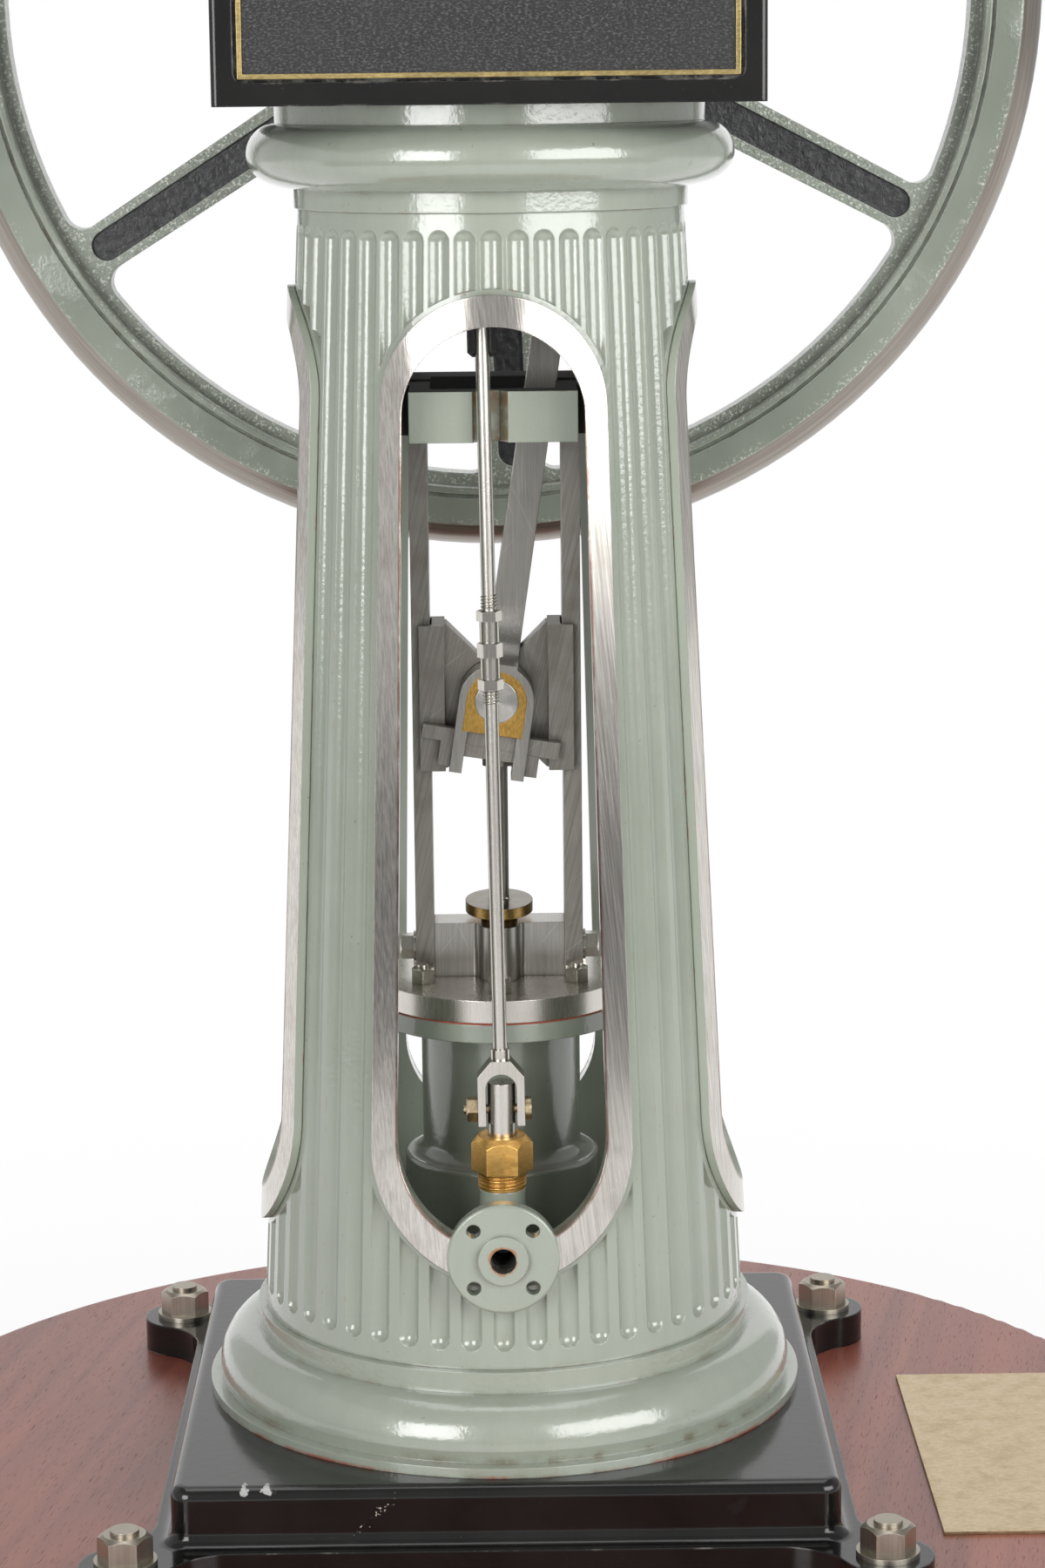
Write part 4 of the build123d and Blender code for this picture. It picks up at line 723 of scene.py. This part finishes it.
def thread(name, foot, along, radii, pitch, body, key):
    """A screw thread as a helical ridge round a rod, from foot along the rod."""
    root_r, crest_r = radii
    axis = Vector(along).normalized()
    across = axis.orthogonal().normalized()
    other = axis.cross(across)
    profile = ((root_r, 0.0), (crest_r, pitch * 0.38), (crest_r, pitch * 0.62), (root_r, pitch))
    corners = []
    faces = []
    for step in range(THREAD_SIDES * THREAD_TURNS + 1):
        turn = 2 * pi * step / THREAD_SIDES
        spoke = cos(turn) * across + sin(turn) * other
        rise = pitch * step / THREAD_SIDES
        for radius, lift in profile:
            corners.append(Vector(foot) + axis * (rise + lift) + spoke * radius)
        if step:
            new = 4 * step
            faces += [(new - 4 + k, new - 3 + k, new + 1 + k, new + k) for k in range(3)]
            faces.append((new - 1, new - 4, new, new + 3))
    faces += [(3, 2, 1, 0), tuple(len(corners) - 4 + k for k in range(4))]
    obj = new_object(name, corners, faces)
    obj.data.validate()
    obj.data.materials.append(MATERIALS[key])
    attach(obj, body)


ROD_ALONG = Vector((sin(ROD_LEAN), 0.0, cos(ROD_LEAN)))
LOW_THREAD = ADJUSTER_LOW - (THREAD_TURNS + 1) * ROD_PITCH
for name, station in (("rod_thread_low", LOW_THREAD), ("rod_thread_high", ADJUSTER_TOP)):
    thread(name, VALVE_PIN + ROD_ALONG * station, ROD_ALONG, ROD_THREAD_R, ROD_PITCH,
           "valve_gear", "nickel")
thread("gland_thread", (0.0, VALVE_Y, NECK_TOP), (0, 0, 1), GLAND_THREAD_R, GLAND_PITCH,
       "engine_frame", "brass")


# The studio: a pale floor, a white background, and grey sheets that only mirrors see

FLOOR_HALF = 4.0
FLOOR_DROP = 0.0002
STUDIO_R = 2.2
STUDIO_FOOT = -0.05
STUDIO_TOP = 2.2
ROOF_HOLE_R = 0.3
FRONT_FLOOR_R = 0.70
FRONT_FLOOR_Z = 0.002
ARC_STEPS = 12
FILL = 0.22


def background_rays(tree):
    """One for camera, glossy and transmission rays, nought for light that falls on the object."""
    path = tree.nodes.new("ShaderNodeLightPath")
    total = path.outputs["Is Camera Ray"]
    for key in ("Is Glossy Ray", "Is Transmission Ray"):
        either = tree.nodes.new("ShaderNodeMath")
        either.operation = "MAXIMUM"
        tree.links.new(total, either.inputs[0])
        tree.links.new(path.outputs[key], either.inputs[1])
        total = either.outputs[0]
    return total


def floor_material():
    """White for the eye and for mirrors away from the object, with its shadow near the base."""
    n = Nodes("studio_floor")
    n.shader(Base_Color=(0.90, 0.90, 0.90), Roughness=0.7, Specular_IOR_Level=0.1)
    away = n.add("ShaderNodeVectorMath", {0: n.coords}, operation="LENGTH").outputs["Value"]
    white = n.add("ShaderNodeMapRange", {"Value": away, "From Min": 0.15, "From Max": 0.42,
                                         "To Min": 0.88, "To Max": 1.0},
                  interpolation_type="SMOOTHSTEP").outputs["Result"]
    share = n.times(white, background_rays(n.tree))
    glow = n.add("ShaderNodeEmission").outputs[0]
    either = n.add("ShaderNodeMixShader", {0: share, 1: n.bsdf.outputs[0], 2: glow})
    return n.surface(either.outputs[0])


def studio_arc(name, turn_from, turn_to, rim_from, rim_to, shade):
    """A curved sheet round the engine; turns from the front, rims as radius and height."""
    corners = []
    for step in range(ARC_STEPS + 1):
        turn = radians(turn_from + (turn_to - turn_from) * step / ARC_STEPS)
        for radius, height in (rim_from, rim_to):
            corners.append((radius * sin(turn), -radius * cos(turn), height))
    faces = [(2 * k, 2 * k + 1, 2 * k + 3, 2 * k + 2) for k in range(ARC_STEPS)]
    obj = new_object(name, corners, faces)
    n = Nodes(name)
    glow = n.add("ShaderNodeEmission", {"Color": (shade, shade, shade, 1.0)})
    obj.data.materials.append(n.surface(glow.outputs[0]))
    obj.visible_camera = False
    obj.visible_diffuse = False
    obj.visible_shadow = False


floor = new_object("studio_floor", [(-FLOOR_HALF, -FLOOR_HALF, 0), (FLOOR_HALF, -FLOOR_HALF, 0),
                                    (FLOOR_HALF, FLOOR_HALF, 0), (-FLOOR_HALF, FLOOR_HALF, 0)],
                   [(0, 1, 2, 3)])
floor.matrix_world = Matrix.Translation((0, 0, -FLOOR_DROP))
floor.data.materials.append(floor_material())

WALL_FOOT = (STUDIO_R, STUDIO_FOOT)
WALL_TOP = (STUDIO_R, STUDIO_TOP)
studio_arc("studio_front", -45, 68, WALL_FOOT, WALL_TOP, 0.44)
studio_arc("studio_left", -150, -45, WALL_FOOT, WALL_TOP, 0.60)
studio_arc("studio_right", 68, 150, WALL_FOOT, WALL_TOP, 0.50)
studio_arc("studio_front_roof", -150, 150, WALL_TOP, (ROOF_HOLE_R, STUDIO_TOP), 0.34)
studio_arc("studio_front_floor", -85, 85, (FRONT_FLOOR_R, FRONT_FLOOR_Z),
           (STUDIO_R, FRONT_FLOOR_Z), 0.20)

# World: a white background with a soft even fill
world = bpy.data.worlds.new("studio")
bpy.context.scene.world = world
world.use_nodes = True
sky = world.node_tree.nodes["Background"]
sky.inputs["Color"].default_value = (1.0, 1.0, 1.0, 1.0)
strength = world.node_tree.nodes.new("ShaderNodeMapRange")
world.node_tree.links.new(background_rays(world.node_tree), strength.inputs["Value"])
strength.inputs["To Min"].default_value = FILL
strength.inputs["To Max"].default_value = 1.0
world.node_tree.links.new(strength.outputs["Result"], sky.inputs["Strength"])


def softbox(name, at, look, size_x, size_y, watts):
    """A rectangular lamp that looks at a point."""
    light = bpy.data.lights.new(name, "AREA")
    light.shape = "RECTANGLE"
    light.size = size_x
    light.size_y = size_y
    light.energy = watts
    obj = bpy.data.objects.new(name, light)
    obj.location = at
    obj.rotation_euler = (Vector(look) - Vector(at)).to_track_quat("-Z", "Y").to_euler()
    bpy.context.scene.collection.objects.link(obj)
    return obj


softbox("softbox_left", (-0.80, -1.38, 0.60), (0, 0, 0.40), 0.72, 0.90, 14.5)
softbox("softbox_right", (1.05, -1.20, 0.66), (0, 0, 0.40), 1.30, 0.88, 19.5)
softbox("softbox_top", (0.0, 0.15, 1.35), (0, 0, 0.2), 0.9, 0.9, 4.0)
back_fill = softbox("softbox_back", (0.30, 1.40, 0.90), (0, 0, 0.30), 0.9, 0.7, 11.0)
back_fill.visible_glossy = False

# Camera at the photograph's viewing angle
forward = Vector((sin(CAMERA_YAW) * cos(CAMERA_PITCH), cos(CAMERA_YAW) * cos(CAMERA_PITCH),
                  -sin(CAMERA_PITCH)))
level = forward.cross(Vector((0, 0, 1))).normalized()
lift = level.cross(forward)
right = cos(CAMERA_ROLL) * level + sin(CAMERA_ROLL) * lift
up = cos(CAMERA_ROLL) * lift - sin(CAMERA_ROLL) * level
camera_data = bpy.data.cameras.new("photo_camera")
camera_data.sensor_width = SENSOR
camera_data.sensor_fit = "AUTO"
camera_data.lens = FOCAL_PX / PHOTO_H * SENSOR
camera_data.clip_start = 0.01
camera = bpy.data.objects.new("photo_camera", camera_data)
turned = Matrix((right, up, -forward)).transposed().to_4x4()
camera.matrix_world = Matrix.Translation(CAMERA_AT) @ turned
bpy.context.scene.collection.objects.link(camera)
bpy.context.scene.camera = camera
bpy.context.scene.view_settings.view_transform = "Standard"
